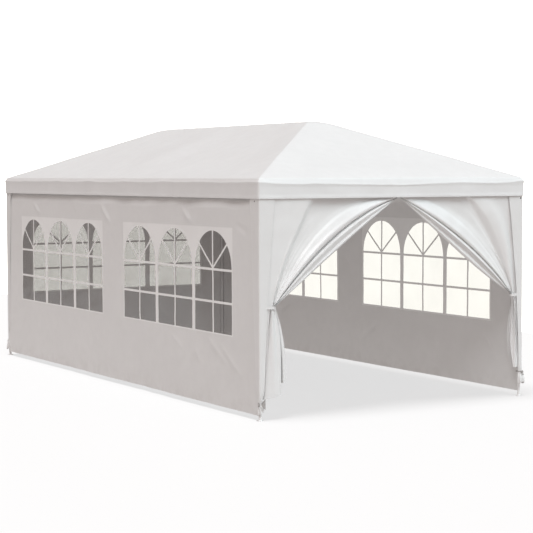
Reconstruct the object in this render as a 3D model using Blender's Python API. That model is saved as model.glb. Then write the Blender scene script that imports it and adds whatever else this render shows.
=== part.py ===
"""A 3 x 6 m party tent: a steel tube frame on four legs under a hipped sheet cover with a valance,
long walls and a back wall with arched film windows, and a front wall drawn back in two curtains.

Metres, +Z up. The origin is on the ground at the middle of the tent. The doorway faces -Y.
"""

import math

import bmesh
import bpy
from mathutils import Vector

# Overall size, outside faces of the cover
WIDTH = 3.0
LENGTH = 6.0
RIDGE_LENGTH = 3.0
ROOF_SLOPE = 0.4
EAVE_LINE = 2.133  # where the slopes would meet the valance's outer face
RIDGE_TOP = 2.70
VALANCE_HEM = 1.957
EAVE_ROUNDING = 0.03
EAVE_STEPS = 4
RIDGE_STEPS = 3

# Sheet and tube stock
COVER_THICKNESS = 0.003
WALL_THICKNESS = 0.0025
FILM_THICKNESS = 0.001
TUBE_RADIUS = 0.0125
SOCKET_RADIUS = 0.0138
HUB_RADIUS = 0.0165
HUB_CLEARANCE = 0.0005  # between a hub and the cover that rests on it
SOCKET_LENGTH = 0.07
MERGE = 1e-6  # points closer than this are one
FOOT_RADIUS = 0.035
FOOT_THICKNESS = 0.004
FOOT_SOCKET_HEIGHT = 0.055
FRAME_INSET = 0.028  # valance's outer face to the axes of legs and eave rails
TOUCH = 0.0003  # gap between pieces that rest on each other

# Walls
WALL_TOP = 2.125
WALL_HEM = 0.045
FLAP_HEM = 0.09
FLAP_TOP_WIDTH = 0.17  # the corner flap on each face, from the tent's corner
FLAP_HEM_WIDTH = 0.05

# Windows, three arched lights in each
LIGHT_WIDTH = 0.706
LIGHT_GAP = 0.058
LIGHTS = 3
WINDOW_MIDDLE = 1.384  # from the tent's middle along the wall
LIGHT_SILL = 0.716
LIGHT_SPRING = 1.304
BACK_LIGHT_WIDTH = 0.730  # the back wall's window is wider and sits higher than those of the sides
BACK_LIGHT_GAP = 0.062
BACK_LIGHT_SILL = 0.757
BACK_LIGHT_SPRING = 1.337
FILM_MARGIN = 0.035
ARCH_STEPS = 14

# Front curtains, drawn back to ties on the corner flaps
CURTAIN_HANG = 1.965  # the sheet is flat above this height, behind the valance
CURTAIN_MEETING = 0.012  # each free edge's distance from the tent's middle
CURTAIN_SHEET = 0.004
FOLD_DEPTH = 0.026
FOLDS = 1.9  # broad folds across a curtain
CREASE_SHARE = 0.84  # places across a curtain, from the flap (0) to the free edge (1)
CREASE_SPREAD = 0.04
HEM_ROLL_SHARE = 0.95
HEM_ROLL_SPREAD = 0.05
TAIL_FOLD_DEPTH = 0.012
TAIL_EDGE = 0.006
TIE_HEIGHT = 1.0
TIE_BAND_HEIGHT = 0.026
TIE_BAND_THICKNESS = 0.003
TIE_PLAY = 0.002  # the bundle keeps its section for this far past the band
TIE_ROOM = 1.03  # the band's inside to the bundle's outside
TIE_SIDES = 24
STRAP_HEIGHT = 0.018
BUNDLE_MIDDLE = 1.368
BUNDLE_HALF_WIDTH = 0.026
BUNDLE_HALF_DEPTH = 0.019
TAIL_OUTER = 1.438
TAIL_INNER = 1.245
TAIL_HEM_OUTER = 0.19
TAIL_HEM_INNER = 0.31
CURTAIN_COLUMNS = 22
CURTAIN_ROWS = 16
TAIL_ROWS = 9

TUBE_SIDES = 16

half_width = WIDTH / 2
half_length = LENGTH / 2
half_ridge = RIDGE_LENGTH / 2
frame_x = half_width - FRAME_INSET
frame_y = half_length - FRAME_INSET
slope_factor = math.hypot(1, ROOF_SLOPE)
hub_depth = HUB_RADIUS + HUB_CLEARANCE + COVER_THICKNESS
eave_z = EAVE_LINE + ROOF_SLOPE * FRAME_INSET - hub_depth * slope_factor
ridge_z = RIDGE_TOP - COVER_THICKNESS - TOUCH - HUB_RADIUS
wall_inner_x = frame_x + HUB_RADIUS + TOUCH
wall_inner_y = frame_y + HUB_RADIUS + TOUCH
wall_outer_x = wall_inner_x + WALL_THICKNESS
wall_outer_y = wall_inner_y + WALL_THICKNESS


def material(name, colour, roughness, metallic=0.0, alpha=1.0):
    made = bpy.data.materials.new(name)
    made.use_nodes = True
    shader = made.node_tree.nodes["Principled BSDF"]
    shader.inputs["Base Color"].default_value = (*colour, 1.0)
    shader.inputs["Roughness"].default_value = roughness
    shader.inputs["Metallic"].default_value = metallic
    shader.inputs["Alpha"].default_value = alpha
    return made


def add_object(name, mesh, finish, place=(0, 0, 0), turn=None):
    obj = bpy.data.objects.new(name, mesh)
    bpy.context.scene.collection.objects.link(obj)
    if finish and not mesh.materials:
        mesh.materials.append(finish)
    obj.location = place
    if turn is not None:
        obj.rotation_mode = "QUATERNION"
        obj.rotation_quaternion = turn
    return obj


def as_guide(obj):
    obj.hide_render = True
    obj.display_type = "WIRE"
    return obj


def face_outwards(bm):
    if bm.calc_volume(signed=True) < 0:
        bmesh.ops.reverse_faces(bm, faces=bm.faces)


def mesh_from(bm, name, smooth_angle=None):
    """The finished mesh of a closed solid whose faces all have the same sense."""
    face_outwards(bm)
    mesh = bpy.data.meshes.new(name)
    bm.to_mesh(mesh)
    bm.free()
    if smooth_angle:
        mesh.shade_smooth()
        mesh.set_sharp_from_angle(angle=math.radians(smooth_angle))
    return mesh


def turned_mesh(name, profile):
    """A solid of revolution about Z from (radius, height) points that start and end on the axis."""
    bm = bmesh.new()
    points = [bm.verts.new((radius, 0, height)) for radius, height in profile]
    edges = [bm.edges.new(pair) for pair in zip(points, points[1:])]
    bmesh.ops.spin(bm, geom=points + edges, cent=(0, 0, 0), axis=(0, 0, 1),
                   angle=math.tau, steps=TUBE_SIDES, use_merge=True)
    bmesh.ops.remove_doubles(bm, verts=bm.verts, dist=MERGE)
    bmesh.ops.recalc_face_normals(bm, faces=bm.faces)
    return mesh_from(bm, name, smooth_angle=40)


def rod_mesh(name, radius, length):
    """A round rod from the origin along +Z."""
    return turned_mesh(name, [(0, 0), (radius, 0), (radius, length), (0, length)])


def sheet_mesh(name, outline, holes, thickness):
    """A flat sheet in the XY plane from z = 0 up to its thickness, with holes cut through it."""
    curve = bpy.data.curves.new(name, "CURVE")
    curve.dimensions = "2D"
    curve.fill_mode = "BOTH"
    curve.extrude = thickness / 2
    for loop in [outline, *holes]:
        spline = curve.splines.new("POLY")
        spline.points.add(len(loop) - 1)
        for point, (x, y) in zip(spline.points, loop):
            point.co = (x, y, thickness / 2, 1)
        spline.use_cyclic_u = True
    obj = bpy.data.objects.new(name, curve)
    mesh = bpy.data.meshes.new_from_object(obj)
    bpy.data.objects.remove(obj)
    bpy.data.curves.remove(curve)
    bm = bmesh.new()
    bm.from_mesh(mesh)
    bmesh.ops.remove_doubles(bm, verts=bm.verts, dist=MERGE)
    bmesh.ops.recalc_face_normals(bm, faces=bm.faces)
    face_outwards(bm)
    bm.to_mesh(mesh)
    bm.free()
    return mesh


def rectangle(low_u, low_v, high_u, high_v):
    return [(low_u, low_v), (high_u, low_v), (high_u, high_v), (low_u, high_v)]


# Frame of steel tubes and welded connectors

def tube_between(name, start, end, finish):
    """A tube from one connector's socket to the next, given the two hub centres."""
    start, end = Vector(start), Vector(end)
    along = (end - start).normalized()
    reach = SOCKET_LENGTH + TOUCH
    length = (end - start).length - 2 * reach
    mesh = rod_mesh(name, TUBE_RADIUS, length)
    turn = Vector((0, 0, 1)).rotation_difference(along)
    return add_object(name, mesh, finish, start + along * reach, turn)


def connector(name, centre, directions, socket_mesh, hub_mesh, finish):
    """A ball hub with one socket towards each direction, welded into one solid."""
    hub = add_object(name, hub_mesh.copy(), finish, centre)
    sockets = bpy.data.collections.new(f"{name}_sockets")
    for number, direction in enumerate(directions, 1):
        turn = Vector((0, 0, 1)).rotation_difference(Vector(direction).normalized())
        socket = as_guide(add_object(f"{name}_socket_{number}", socket_mesh, finish, centre, turn))
        sockets.objects.link(socket)
    weld = hub.modifiers.new("weld", "BOOLEAN")
    weld.operation = "UNION"
    weld.operand_type = "COLLECTION"
    weld.collection = sockets
    return hub


def leg(name, x, y, finish):
    """A leg tube with its round base plate, standing on the ground."""
    top = eave_z - SOCKET_LENGTH - TOUCH
    profile = [
        (0, 0),
        (FOOT_RADIUS, 0),
        (FOOT_RADIUS, FOOT_THICKNESS),
        (SOCKET_RADIUS, FOOT_THICKNESS),
        (SOCKET_RADIUS, FOOT_SOCKET_HEIGHT),
        (TUBE_RADIUS, FOOT_SOCKET_HEIGHT),
        (TUBE_RADIUS, top),
        (0, top),
    ]
    return add_object(name, turned_mesh(name, profile), finish, (x, y, 0))


def build_frame(finish):
    socket_mesh = rod_mesh("socket", SOCKET_RADIUS, SOCKET_LENGTH)
    ball = bmesh.new()
    bmesh.ops.create_uvsphere(ball, u_segments=TUBE_SIDES, v_segments=8, radius=HUB_RADIUS)
    hub_mesh = mesh_from(ball, "hub", smooth_angle=60)

    sides = {"left": -1, "right": 1}
    ends = {"front": -1, "back": 1}
    down = Vector((0, 0, -1))
    ridge_middle = Vector((0, 0, ridge_z))
    for side, sx in sides.items():
        middle = Vector((sx * frame_x, 0, eave_z))
        connector(f"side_connector_{side}", middle,
                  [(0, 1, 0), (0, -1, 0), ridge_middle - middle], socket_mesh, hub_mesh, finish)
        tube_between(f"middle_rafter_{side}", middle, ridge_middle, finish)
        for end, sy in ends.items():
            corner = Vector((sx * frame_x, sy * frame_y, eave_z))
            ridge_end = Vector((0, sy * half_ridge, ridge_z))
            leg(f"leg_{end}_{side}", corner.x, corner.y, finish)
            connector(f"corner_connector_{end}_{side}", corner,
                      [down, (-sx, 0, 0), (0, -sy, 0), ridge_end - corner],
                      socket_mesh, hub_mesh, finish)
            tube_between(f"eave_rail_{side}_{end}", corner, middle, finish)
            tube_between(f"hip_rafter_{end}_{side}", corner, ridge_end, finish)

    connector("ridge_connector_middle", ridge_middle,
              [(0, 1, 0), (0, -1, 0)]
              + [Vector((sx * frame_x, 0, eave_z)) - ridge_middle for sx in sides.values()],
              socket_mesh, hub_mesh, finish)
    for end, sy in ends.items():
        ridge_end = Vector((0, sy * half_ridge, ridge_z))
        corners = [Vector((sx * frame_x, sy * frame_y, eave_z)) for sx in sides.values()]
        connector(f"ridge_connector_{end}", ridge_end,
                  [(0, -sy, 0)] + [corner - ridge_end for corner in corners],
                  socket_mesh, hub_mesh, finish)
        tube_between(f"ridge_tube_{end}", ridge_end, ridge_middle, finish)
        tube_between(f"eave_rail_{end}", corners[0], corners[1], finish)


# Cover, one sheet whose height depends only on the distance in from the eaves

def cover_profile():
    """Points (inset, height) from the valance's hem over the rounded eave to the rounded ridge."""
    points = [(0.0, VALANCE_HEM)]
    centre_z = EAVE_LINE + ROOF_SLOPE * EAVE_ROUNDING - EAVE_ROUNDING * slope_factor
    turn = math.pi / 2 - math.atan(ROOF_SLOPE)
    for step in range(EAVE_STEPS + 1):
        angle = turn * step / EAVE_STEPS
        points.append((EAVE_ROUNDING * (1 - math.cos(angle)),
                       centre_z + EAVE_ROUNDING * math.sin(angle)))
    meeting_height = EAVE_LINE + ROOF_SLOPE * half_width
    ridge_rounding = 2 * (meeting_height - RIDGE_TOP) / ROOF_SLOPE
    for step in range(RIDGE_STEPS, -1, -1):
        x = ridge_rounding * step / RIDGE_STEPS
        points.append((half_width - x, RIDGE_TOP - ROOF_SLOPE * x * x / (2 * ridge_rounding)))
    return points


def build_cover(finish):
    bm = bmesh.new()
    rings = []
    for inset, height in cover_profile():
        x, y = half_width - inset, half_length - inset
        rings.append([bm.verts.new((sx * x, sy * y, height))
                      for sx, sy in ((-1, -1), (1, -1), (1, 1), (-1, 1))])
    for lower, upper in zip(rings, rings[1:]):
        for here in range(4):
            after = (here + 1) % 4
            bm.faces.new((lower[here], lower[after], upper[after], upper[here]))
    bmesh.ops.remove_doubles(bm, verts=bm.verts, dist=MERGE)
    bmesh.ops.recalc_face_normals(bm, faces=bm.faces)
    mesh = mesh_from(bm, "roof_cover", smooth_angle=30)
    cover = add_object("roof_cover", mesh, finish)
    shell = cover.modifiers.new("sheet thickness", "SOLIDIFY")
    shell.thickness = COVER_THICKNESS
    shell.offset = -1
    shell.use_even_offset = True
    return cover


# Long walls with their windows

def flap_width(height):
    """How far a corner flap reaches from the tent's corner at this height."""
    share = (WALL_TOP - height) / (WALL_TOP - FLAP_HEM)
    return FLAP_TOP_WIDTH + (FLAP_HEM_WIDTH - FLAP_TOP_WIDTH) * share


def arched_light(middle, width, sill, spring):
    radius = width / 2
    points = [(middle - radius, sill), (middle + radius, sill)]
    for step in range(ARCH_STEPS + 1):
        angle = math.pi * step / ARCH_STEPS
        points.append((middle + radius * math.cos(angle), spring + radius * math.sin(angle)))
    return points


def window(middle, width, gap, sill, spring):
    """The lights cut for one window and the outline of the film that closes them."""
    pitch = width + gap
    lights = [arched_light(middle + pitch * (number - (LIGHTS - 1) / 2), width, sill, spring)
              for number in range(LIGHTS)]
    reach = (LIGHTS * width + (LIGHTS - 1) * gap) / 2 + FILM_MARGIN
    head = spring + width / 2 + FILM_MARGIN
    return lights, rectangle(middle - reach, sill - FILM_MARGIN, middle + reach, head)


def build_long_wall(side, sx, wall_finish, film_finish):
    """Sheets are drawn as (along Y, up Z) and stood against the wall plane."""
    def upright(name, outline, holes, thickness, inner_x, finish):
        bm = bmesh.new()
        bm.from_mesh(sheet_mesh(name, outline, holes, thickness))
        for vert in bm.verts:
            along, up, out = vert.co
            vert.co = (sx * (inner_x + out), along, up)
        return add_object(name, mesh_from(bm, name), finish)

    top = half_length - flap_width(WALL_TOP) - TOUCH
    hem = half_length - flap_width(WALL_HEM) - TOUCH
    outline = [(-hem, WALL_HEM), (hem, WALL_HEM), (top, WALL_TOP), (-top, WALL_TOP)]
    cuts = []
    for end, y in (("front", -WINDOW_MIDDLE), ("back", WINDOW_MIDDLE)):
        lights, film = window(y, LIGHT_WIDTH, LIGHT_GAP, LIGHT_SILL, LIGHT_SPRING)
        cuts += lights
        upright(f"window_film_{end}_{side}", film, [], FILM_THICKNESS,
                wall_inner_x - TOUCH - FILM_THICKNESS, film_finish)
    upright(f"wall_{side}", outline, cuts, WALL_THICKNESS, wall_inner_x, wall_finish)


# Corner flaps, folded round each leg

def build_corner_flap(name, sx, sy, finish):
    bm = bmesh.new()
    rings = []
    for height in (FLAP_HEM, WALL_TOP):
        end_x = half_width - flap_width(height)
        end_y = half_length - flap_width(height)
        section = [
            (wall_outer_x, end_y),
            (wall_outer_x, wall_outer_y),
            (end_x, wall_outer_y),
            (end_x, wall_inner_y),
            (wall_inner_x, wall_inner_y),
            (wall_inner_x, end_y),
        ]
        rings.append([bm.verts.new((sx * x, sy * y, height)) for x, y in section])
    for here in range(6):
        after = (here + 1) % 6
        bm.faces.new((rings[0][here], rings[0][after], rings[1][after], rings[1][here]))
    for ring in rings:
        bm.faces.new(ring)
    bmesh.ops.recalc_face_normals(bm, faces=bm.faces)
    return add_object(name, mesh_from(bm, name), finish)


# Back wall with its window

def build_back_wall(wall_finish, film_finish):
    """Sheets are drawn as (across X, up Z) and stood against the wall plane."""
    def upright(name, outline, holes, thickness, inner_y, finish):
        bm = bmesh.new()
        bm.from_mesh(sheet_mesh(name, outline, holes, thickness))
        for vert in bm.verts:
            across, up, out = vert.co
            vert.co = (across, inner_y + out, up)
        return add_object(name, mesh_from(bm, name), finish)

    top = half_width - flap_width(WALL_TOP) - TOUCH
    hem = half_width - flap_width(WALL_HEM) - TOUCH
    outline = [(-hem, WALL_HEM), (hem, WALL_HEM), (top, WALL_TOP), (-top, WALL_TOP)]
    lights, film = window(0, BACK_LIGHT_WIDTH, BACK_LIGHT_GAP, BACK_LIGHT_SILL, BACK_LIGHT_SPRING)
    upright("back_wall", outline, lights, WALL_THICKNESS, wall_inner_y, wall_finish)
    upright("window_film_back_wall", film, [], FILM_THICKNESS,
            wall_inner_y - TOUCH - FILM_THICKNESS, film_finish)


# Front curtains

def fold_wave(share):
    """Broad waves that fade towards the free edge, with a crease and a rolled hem beside it."""
    broad = 0.55 * math.cos(math.tau * FOLDS * share ** 1.25) * (1 - share ** 4)
    crease = -0.8 * math.exp(-((share - CREASE_SHARE) / CREASE_SPREAD) ** 2)
    roll = 0.75 * math.exp(-((share - HEM_ROLL_SHARE) / HEM_ROLL_SPREAD) ** 2)
    return broad + crease + roll


def bundle_section(share):
    """Half an ellipse's height: 0 at both edges of the gathered sheet, 1 in its middle."""
    return math.sqrt(max(0.0, 1 - (2 * share - 1) ** 2))


def curtain_row(outer, inner, outer_z, inner_z, middle_y, edge_depth, full_depth, fold):
    """Points (x, z, front y, back y) across the sheet, from its outer edge to its inner one."""
    points = []
    for column in range(CURTAIN_COLUMNS + 1):
        share = column / CURTAIN_COLUMNS
        depth = edge_depth + (full_depth - edge_depth) * bundle_section(share)
        y = middle_y + fold * fold_wave(share)
        points.append((outer + (inner - outer) * share, outer_z + (inner_z - outer_z) * share,
                       y + depth / 2, y - depth / 2))
    return points


def curtain_grid():
    """Rows down a curtain right of the tent's middle, with y as the distance from the tent's middle."""
    hang_y = frame_y + TUBE_RADIUS + TOUCH + CURTAIN_SHEET / 2
    top_z = WALL_TOP - TIE_PLAY
    outer_tie = BUNDLE_MIDDLE + BUNDLE_HALF_WIDTH
    inner_tie = BUNDLE_MIDDLE - BUNDLE_HALF_WIDTH
    bundle_depth = 2 * BUNDLE_HALF_DEPTH
    band_half = TIE_BAND_HEIGHT / 2 + TIE_PLAY
    outer_hang = half_width - flap_width(CURTAIN_HANG) - TOUCH
    rows = [
        curtain_row(half_width - flap_width(top_z) - TOUCH, CURTAIN_MEETING, top_z, top_z,
                    hang_y, CURTAIN_SHEET, CURTAIN_SHEET, 0),
        curtain_row(outer_hang, CURTAIN_MEETING, CURTAIN_HANG, CURTAIN_HANG,
                    hang_y, CURTAIN_SHEET, CURTAIN_SHEET, 0),
    ]
    for step in range(1, CURTAIN_ROWS + 1):
        share = step / CURTAIN_ROWS
        gathered = share ** 3
        z = CURTAIN_HANG + (TIE_HEIGHT + band_half - CURTAIN_HANG) * share
        fold = FOLD_DEPTH * math.sin(math.pi * min(0.75 * share, 0.5)) * (1 - gathered)
        rows.append(curtain_row(outer_hang + (outer_tie - outer_hang) * share,
                                CURTAIN_MEETING + (inner_tie - CURTAIN_MEETING) * share, z, z,
                                hang_y + (frame_y - hang_y) * share ** 2,
                                CURTAIN_SHEET * (1 - 0.8 * gathered),
                                CURTAIN_SHEET + (bundle_depth - CURTAIN_SHEET) * gathered, fold))
    tail_top = TIE_HEIGHT - band_half
    for z in (TIE_HEIGHT, tail_top):
        rows.append(curtain_row(outer_tie, inner_tie, z, z, frame_y,
                                0.2 * CURTAIN_SHEET, bundle_depth, 0))
    for step in range(1, TAIL_ROWS + 1):
        share = step / TAIL_ROWS
        opened = share ** 0.7
        rows.append(curtain_row(outer_tie + (TAIL_OUTER - outer_tie) * opened,
                                inner_tie + (TAIL_INNER - inner_tie) * opened,
                                tail_top + (TAIL_HEM_OUTER - tail_top) * share,
                                tail_top + (TAIL_HEM_INNER - tail_top) * share,
                                frame_y - TAIL_EDGE * share, TAIL_EDGE,
                                bundle_depth * (1 - 0.4 * share), TAIL_FOLD_DEPTH * opened))
    return rows


def build_curtain(side, sx, finish):
    bm = bmesh.new()
    rows = curtain_grid()
    front = [[bm.verts.new((sx * x, -y_front, z)) for x, z, y_front, y_back in row] for row in rows]
    back = [[bm.verts.new((sx * x, -y_back, z)) for x, z, y_front, y_back in row] for row in rows]
    for upper in range(len(rows) - 1):
        lower = upper + 1
        for left in range(CURTAIN_COLUMNS):
            right = left + 1
            for layer in (front, back):
                bm.faces.new((layer[upper][left], layer[upper][right],
                              layer[lower][right], layer[lower][left]))
        for edge in (0, -1):
            bm.faces.new((front[upper][edge], front[lower][edge],
                          back[lower][edge], back[upper][edge]))
    for end in (0, -1):
        for left in range(CURTAIN_COLUMNS):
            right = left + 1
            bm.faces.new((front[end][left], front[end][right], back[end][right], back[end][left]))
    bmesh.ops.recalc_face_normals(bm, faces=bm.faces)
    return add_object(f"front_curtain_{side}", mesh_from(bm, "curtain", smooth_angle=50), finish)


def tie_ring(bm, sx, z, grow):
    """A closed ring of points round the bundle, this far outside it."""
    ring = []
    for step in range(TIE_SIDES):
        angle = math.tau * step / TIE_SIDES
        x = BUNDLE_MIDDLE + (BUNDLE_HALF_WIDTH * TIE_ROOM + grow) * math.cos(angle)
        y = frame_y + (BUNDLE_HALF_DEPTH * TIE_ROOM + grow) * math.sin(angle)
        ring.append(bm.verts.new((sx * x, -y, z)))
    return ring


def build_tie(side, sx, finish):
    """A band round the gathered curtain with a strap to the leg."""
    bm = bmesh.new()
    low, high = TIE_HEIGHT - TIE_BAND_HEIGHT / 2, TIE_HEIGHT + TIE_BAND_HEIGHT / 2
    rings = [tie_ring(bm, sx, low, TOUCH), tie_ring(bm, sx, high, TOUCH),
             tie_ring(bm, sx, high, TOUCH + TIE_BAND_THICKNESS),
             tie_ring(bm, sx, low, TOUCH + TIE_BAND_THICKNESS)]
    for here, ring in enumerate(rings):
        other = rings[(here + 1) % len(rings)]
        for step in range(TIE_SIDES):
            after = (step + 1) % TIE_SIDES
            bm.faces.new((ring[step], ring[after], other[after], other[step]))
    bmesh.ops.recalc_face_normals(bm, faces=bm.faces)
    tie = add_object(f"curtain_tie_{side}", mesh_from(bm, "tie"), finish)

    strap_start = BUNDLE_MIDDLE + BUNDLE_HALF_WIDTH * TIE_ROOM + TIE_BAND_THICKNESS / 2
    strap_end = frame_x - TUBE_RADIUS - TOUCH
    strap_size = (strap_end - strap_start, TIE_BAND_THICKNESS, STRAP_HEIGHT)
    bm = bmesh.new()
    bmesh.ops.create_cube(bm, size=1)
    bmesh.ops.scale(bm, vec=strap_size, verts=bm.verts)
    strap = as_guide(add_object(f"curtain_tie_{side}_strap", mesh_from(bm, "strap"), finish,
                                (sx * (strap_start + strap_end) / 2, -frame_y, TIE_HEIGHT)))
    sew = tie.modifiers.new("strap", "BOOLEAN")
    sew.operation = "UNION"
    sew.object = strap


def main():
    for obj in list(bpy.data.objects):
        bpy.data.objects.remove(obj)
    steel = material("white coated steel", (0.80, 0.80, 0.80), 0.35)
    cover_sheet = material("white cover sheet", (0.88, 0.88, 0.88), 0.55)
    wall_sheet = material("white wall sheet", (0.84, 0.83, 0.82), 0.55)
    film = material("clear window film", (0.92, 0.93, 0.90), 0.08, alpha=0.25)

    build_frame(steel)
    build_cover(cover_sheet)
    for side, sx in (("left", -1), ("right", 1)):
        build_long_wall(side, sx, wall_sheet, film)
        build_curtain(side, sx, wall_sheet)
        build_tie(side, sx, wall_sheet)
        for end, sy in (("front", -1), ("back", 1)):
            build_corner_flap(f"corner_flap_{end}_{side}", sx, sy, wall_sheet)
    build_back_wall(wall_sheet, film)


main()
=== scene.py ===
import math

import bmesh
import bpy
import numpy as np
from mathutils import Matrix, Vector


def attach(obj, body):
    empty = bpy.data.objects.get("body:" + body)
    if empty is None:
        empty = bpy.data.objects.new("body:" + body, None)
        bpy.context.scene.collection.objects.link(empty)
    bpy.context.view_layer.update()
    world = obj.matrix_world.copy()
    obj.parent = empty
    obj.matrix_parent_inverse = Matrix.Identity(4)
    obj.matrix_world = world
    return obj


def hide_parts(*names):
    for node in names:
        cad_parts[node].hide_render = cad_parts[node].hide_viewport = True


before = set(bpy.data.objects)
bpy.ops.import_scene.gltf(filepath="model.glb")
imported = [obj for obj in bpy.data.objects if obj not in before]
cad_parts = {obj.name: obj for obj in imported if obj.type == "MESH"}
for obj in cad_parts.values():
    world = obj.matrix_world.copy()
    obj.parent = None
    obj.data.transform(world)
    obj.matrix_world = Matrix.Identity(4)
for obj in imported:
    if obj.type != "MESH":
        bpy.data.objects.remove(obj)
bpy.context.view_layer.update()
print("frame loaded:", len(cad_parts), "solids")

# sizes that several pieces share, in metres
tent = {
    "halfWidth": 1.5,
    "halfLength": 3.0,
    "slope": 0.4,
    "eaveLine": 2.133,      # where the slopes would meet the valance
    "ridgeTop": 2.70,
    "valanceHem": 1.957,
    "eaveFold": 2.088,      # where the valance is folded from the slope
    "eaveFoldOut": 0.0045,
    "eaveRound": 0.0172,    # over the rails
    "frameX": 1.472,        # axes of legs and rails, from the tent's middle
    "frameY": 2.972,
    "eaveZ": 2.12266,
    "ridgeZ": 2.6802,
    "wallX": 1.490,
    "wallY": 2.990,
    "wallTop": 2.118,
    "wallHem": 0.045,
    "flapTopWidth": 0.17,   # a corner flap on each face, from the tent's corner
    "flapHemWidth": 0.05,
    "flapHem": 0.09,
    "flapTop": 2.125,
}
sides = {"left": -1, "right": 1}
ends = {"front": -1, "back": 1}


# camera at the photograph's viewing angle
camera = {
    "place": (-8.34, -14.576, 2.168),
    "azimuth": 30.87,       # degrees from +Y towards +X
    "elevation": -3.41,
    "roll": -0.17,
    "lens": 104.03,
    "sensor": 36.0,
}


def addCamera():
    azimuth, elevation, roll = (math.radians(camera[key]) for key in ("azimuth", "elevation", "roll"))
    forward = Vector((math.sin(azimuth) * math.cos(elevation),
                      math.cos(azimuth) * math.cos(elevation), math.sin(elevation)))
    right = forward.cross(Vector((0, 0, 1))).normalized()
    up = right.cross(forward)
    rolledRight = math.cos(roll) * right + math.sin(roll) * up
    rolledUp = math.cos(roll) * up - math.sin(roll) * right
    turn = Matrix((rolledRight, rolledUp, -forward)).transposed()
    data = bpy.data.cameras.new("camera")
    data.lens = camera["lens"]
    data.sensor_width = camera["sensor"]
    data.clip_end = 200
    obj = bpy.data.objects.new("camera", data)
    obj.matrix_world = Matrix.Translation(camera["place"]) @ turn.to_4x4()
    bpy.context.scene.collection.objects.link(obj)
    bpy.context.scene.camera = obj


addCamera()
bpy.context.scene.view_settings.view_transform = "Standard"
print("camera placed")


class Field:
    # a socket that can stand in ordinary arithmetic
    def __init__(self, recipe, socket):
        self.recipe, self.socket = recipe, socket

    def maths(self, operation, first, second=0.0):
        return self.recipe.node("ShaderNodeMath", {"operation": operation}, {0: first, 1: second})

    def __add__(self, other):
        return self.maths("ADD", self, other)

    def __radd__(self, other):
        return self.maths("ADD", other, self)

    def __sub__(self, other):
        return self.maths("SUBTRACT", self, other)

    def __rsub__(self, other):
        return self.maths("SUBTRACT", other, self)

    def __mul__(self, other):
        return self.maths("MULTIPLY", self, other)

    def __rmul__(self, other):
        return self.maths("MULTIPLY", other, self)

    def __abs__(self):
        return self.maths("ABSOLUTE", self)


class Recipe:
    # one node tree, its closing shader and short ways to add to them
    def __init__(self, tree, shader):
        self.tree, self.shader = tree, tree.nodes[shader]

    def node(self, kind, settings=None, sockets=None, output=0):
        made = self.tree.nodes.new(kind)
        for key, value in (settings or {}).items():
            setattr(made, key, value)
        for key, value in (sockets or {}).items():
            self.feed(made.inputs[key], value)
        return Field(self, made.outputs[output])

    def feed(self, socket, value):
        if isinstance(value, Field):
            self.tree.links.new(value.socket, socket)
        else:
            socket.default_value = value

    def close(self, looks):
        for key, value in looks.items():
            self.feed(self.shader.inputs[key], value)

    def part(self, vector, axis):
        return self.node("ShaderNodeSeparateXYZ", None, {0: vector}, axis)

    def attribute(self, name):
        # the two numbers that gridPiece keeps under this name
        vector = self.node("ShaderNodeAttribute", {"attribute_name": name}, output="Vector")
        return self.part(vector, 0), self.part(vector, 1)

    def place(self):
        return self.node("ShaderNodeTexCoord", output="Object")

    def mottle(self, scale, detail=2.0):
        return self.node("ShaderNodeTexNoise", None,
                         {"Vector": self.place(), "Scale": scale, "Detail": detail})

    def wave(self, value, length):
        return value.maths("SINE", value * (math.tau / length))

    def ramp(self, value, low, high, start=0.0, stop=1.0):
        return self.node("ShaderNodeMapRange", {"interpolation_type": "SMOOTHSTEP"},
                         {0: value, 1: low, 2: high, 3: start, 4: stop})

    def mix(self, mask, first, second):
        return self.node("ShaderNodeMix", {"data_type": "RGBA"}, {0: mask, 6: first, 7: second}, 2)

    def clouded(self, clouds, colour, dark, light):
        # the colour at these two strengths, in soft clouds
        return self.mix(self.ramp(clouds, 0.3, 0.7), shade(colour, dark), shade(colour, light))

    def bump(self, height):
        # height in metres
        return self.node("ShaderNodeBump", None, {"Strength": 1.0, "Distance": 1.0, "Height": height})


def newMaterial(name, settings):
    made = bpy.data.materials.new(name)
    made.use_nodes = True
    recipe = Recipe(made.node_tree, "Principled BSDF")
    recipe.close(settings)
    return made, recipe


def shade(colour, factor=1.0):
    return (*[part * factor for part in colour], 1.0)


# woven sheet with a smooth coating: fine tapes, a coarser grid, soft crumples, stitched hems
weave = {
    "tape": 0.0024,           # one tape of the weave
    "tapeHeight": 0.00003,
    "grid": 0.011,            # thicker threads of the base cloth
    "gridHeight": 0.00005,
    "clouds": 2.2,            # scales of the unevenness
    "patches": 11.0,
    "fine": 34.0,
    "crumple": 0.0009,
    "fineCrumple": 0.00016,
    "stitchPlace": 0.02,      # from the sheet's edge
    "stitchPitch": 0.007,
    "stitchDepth": 0.0005,
    "hemHeight": 0.0004,
    "dustHeight": 0.22,       # faint dust below this height
    "dust": (0.42, 0.38, 0.33),
}


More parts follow.
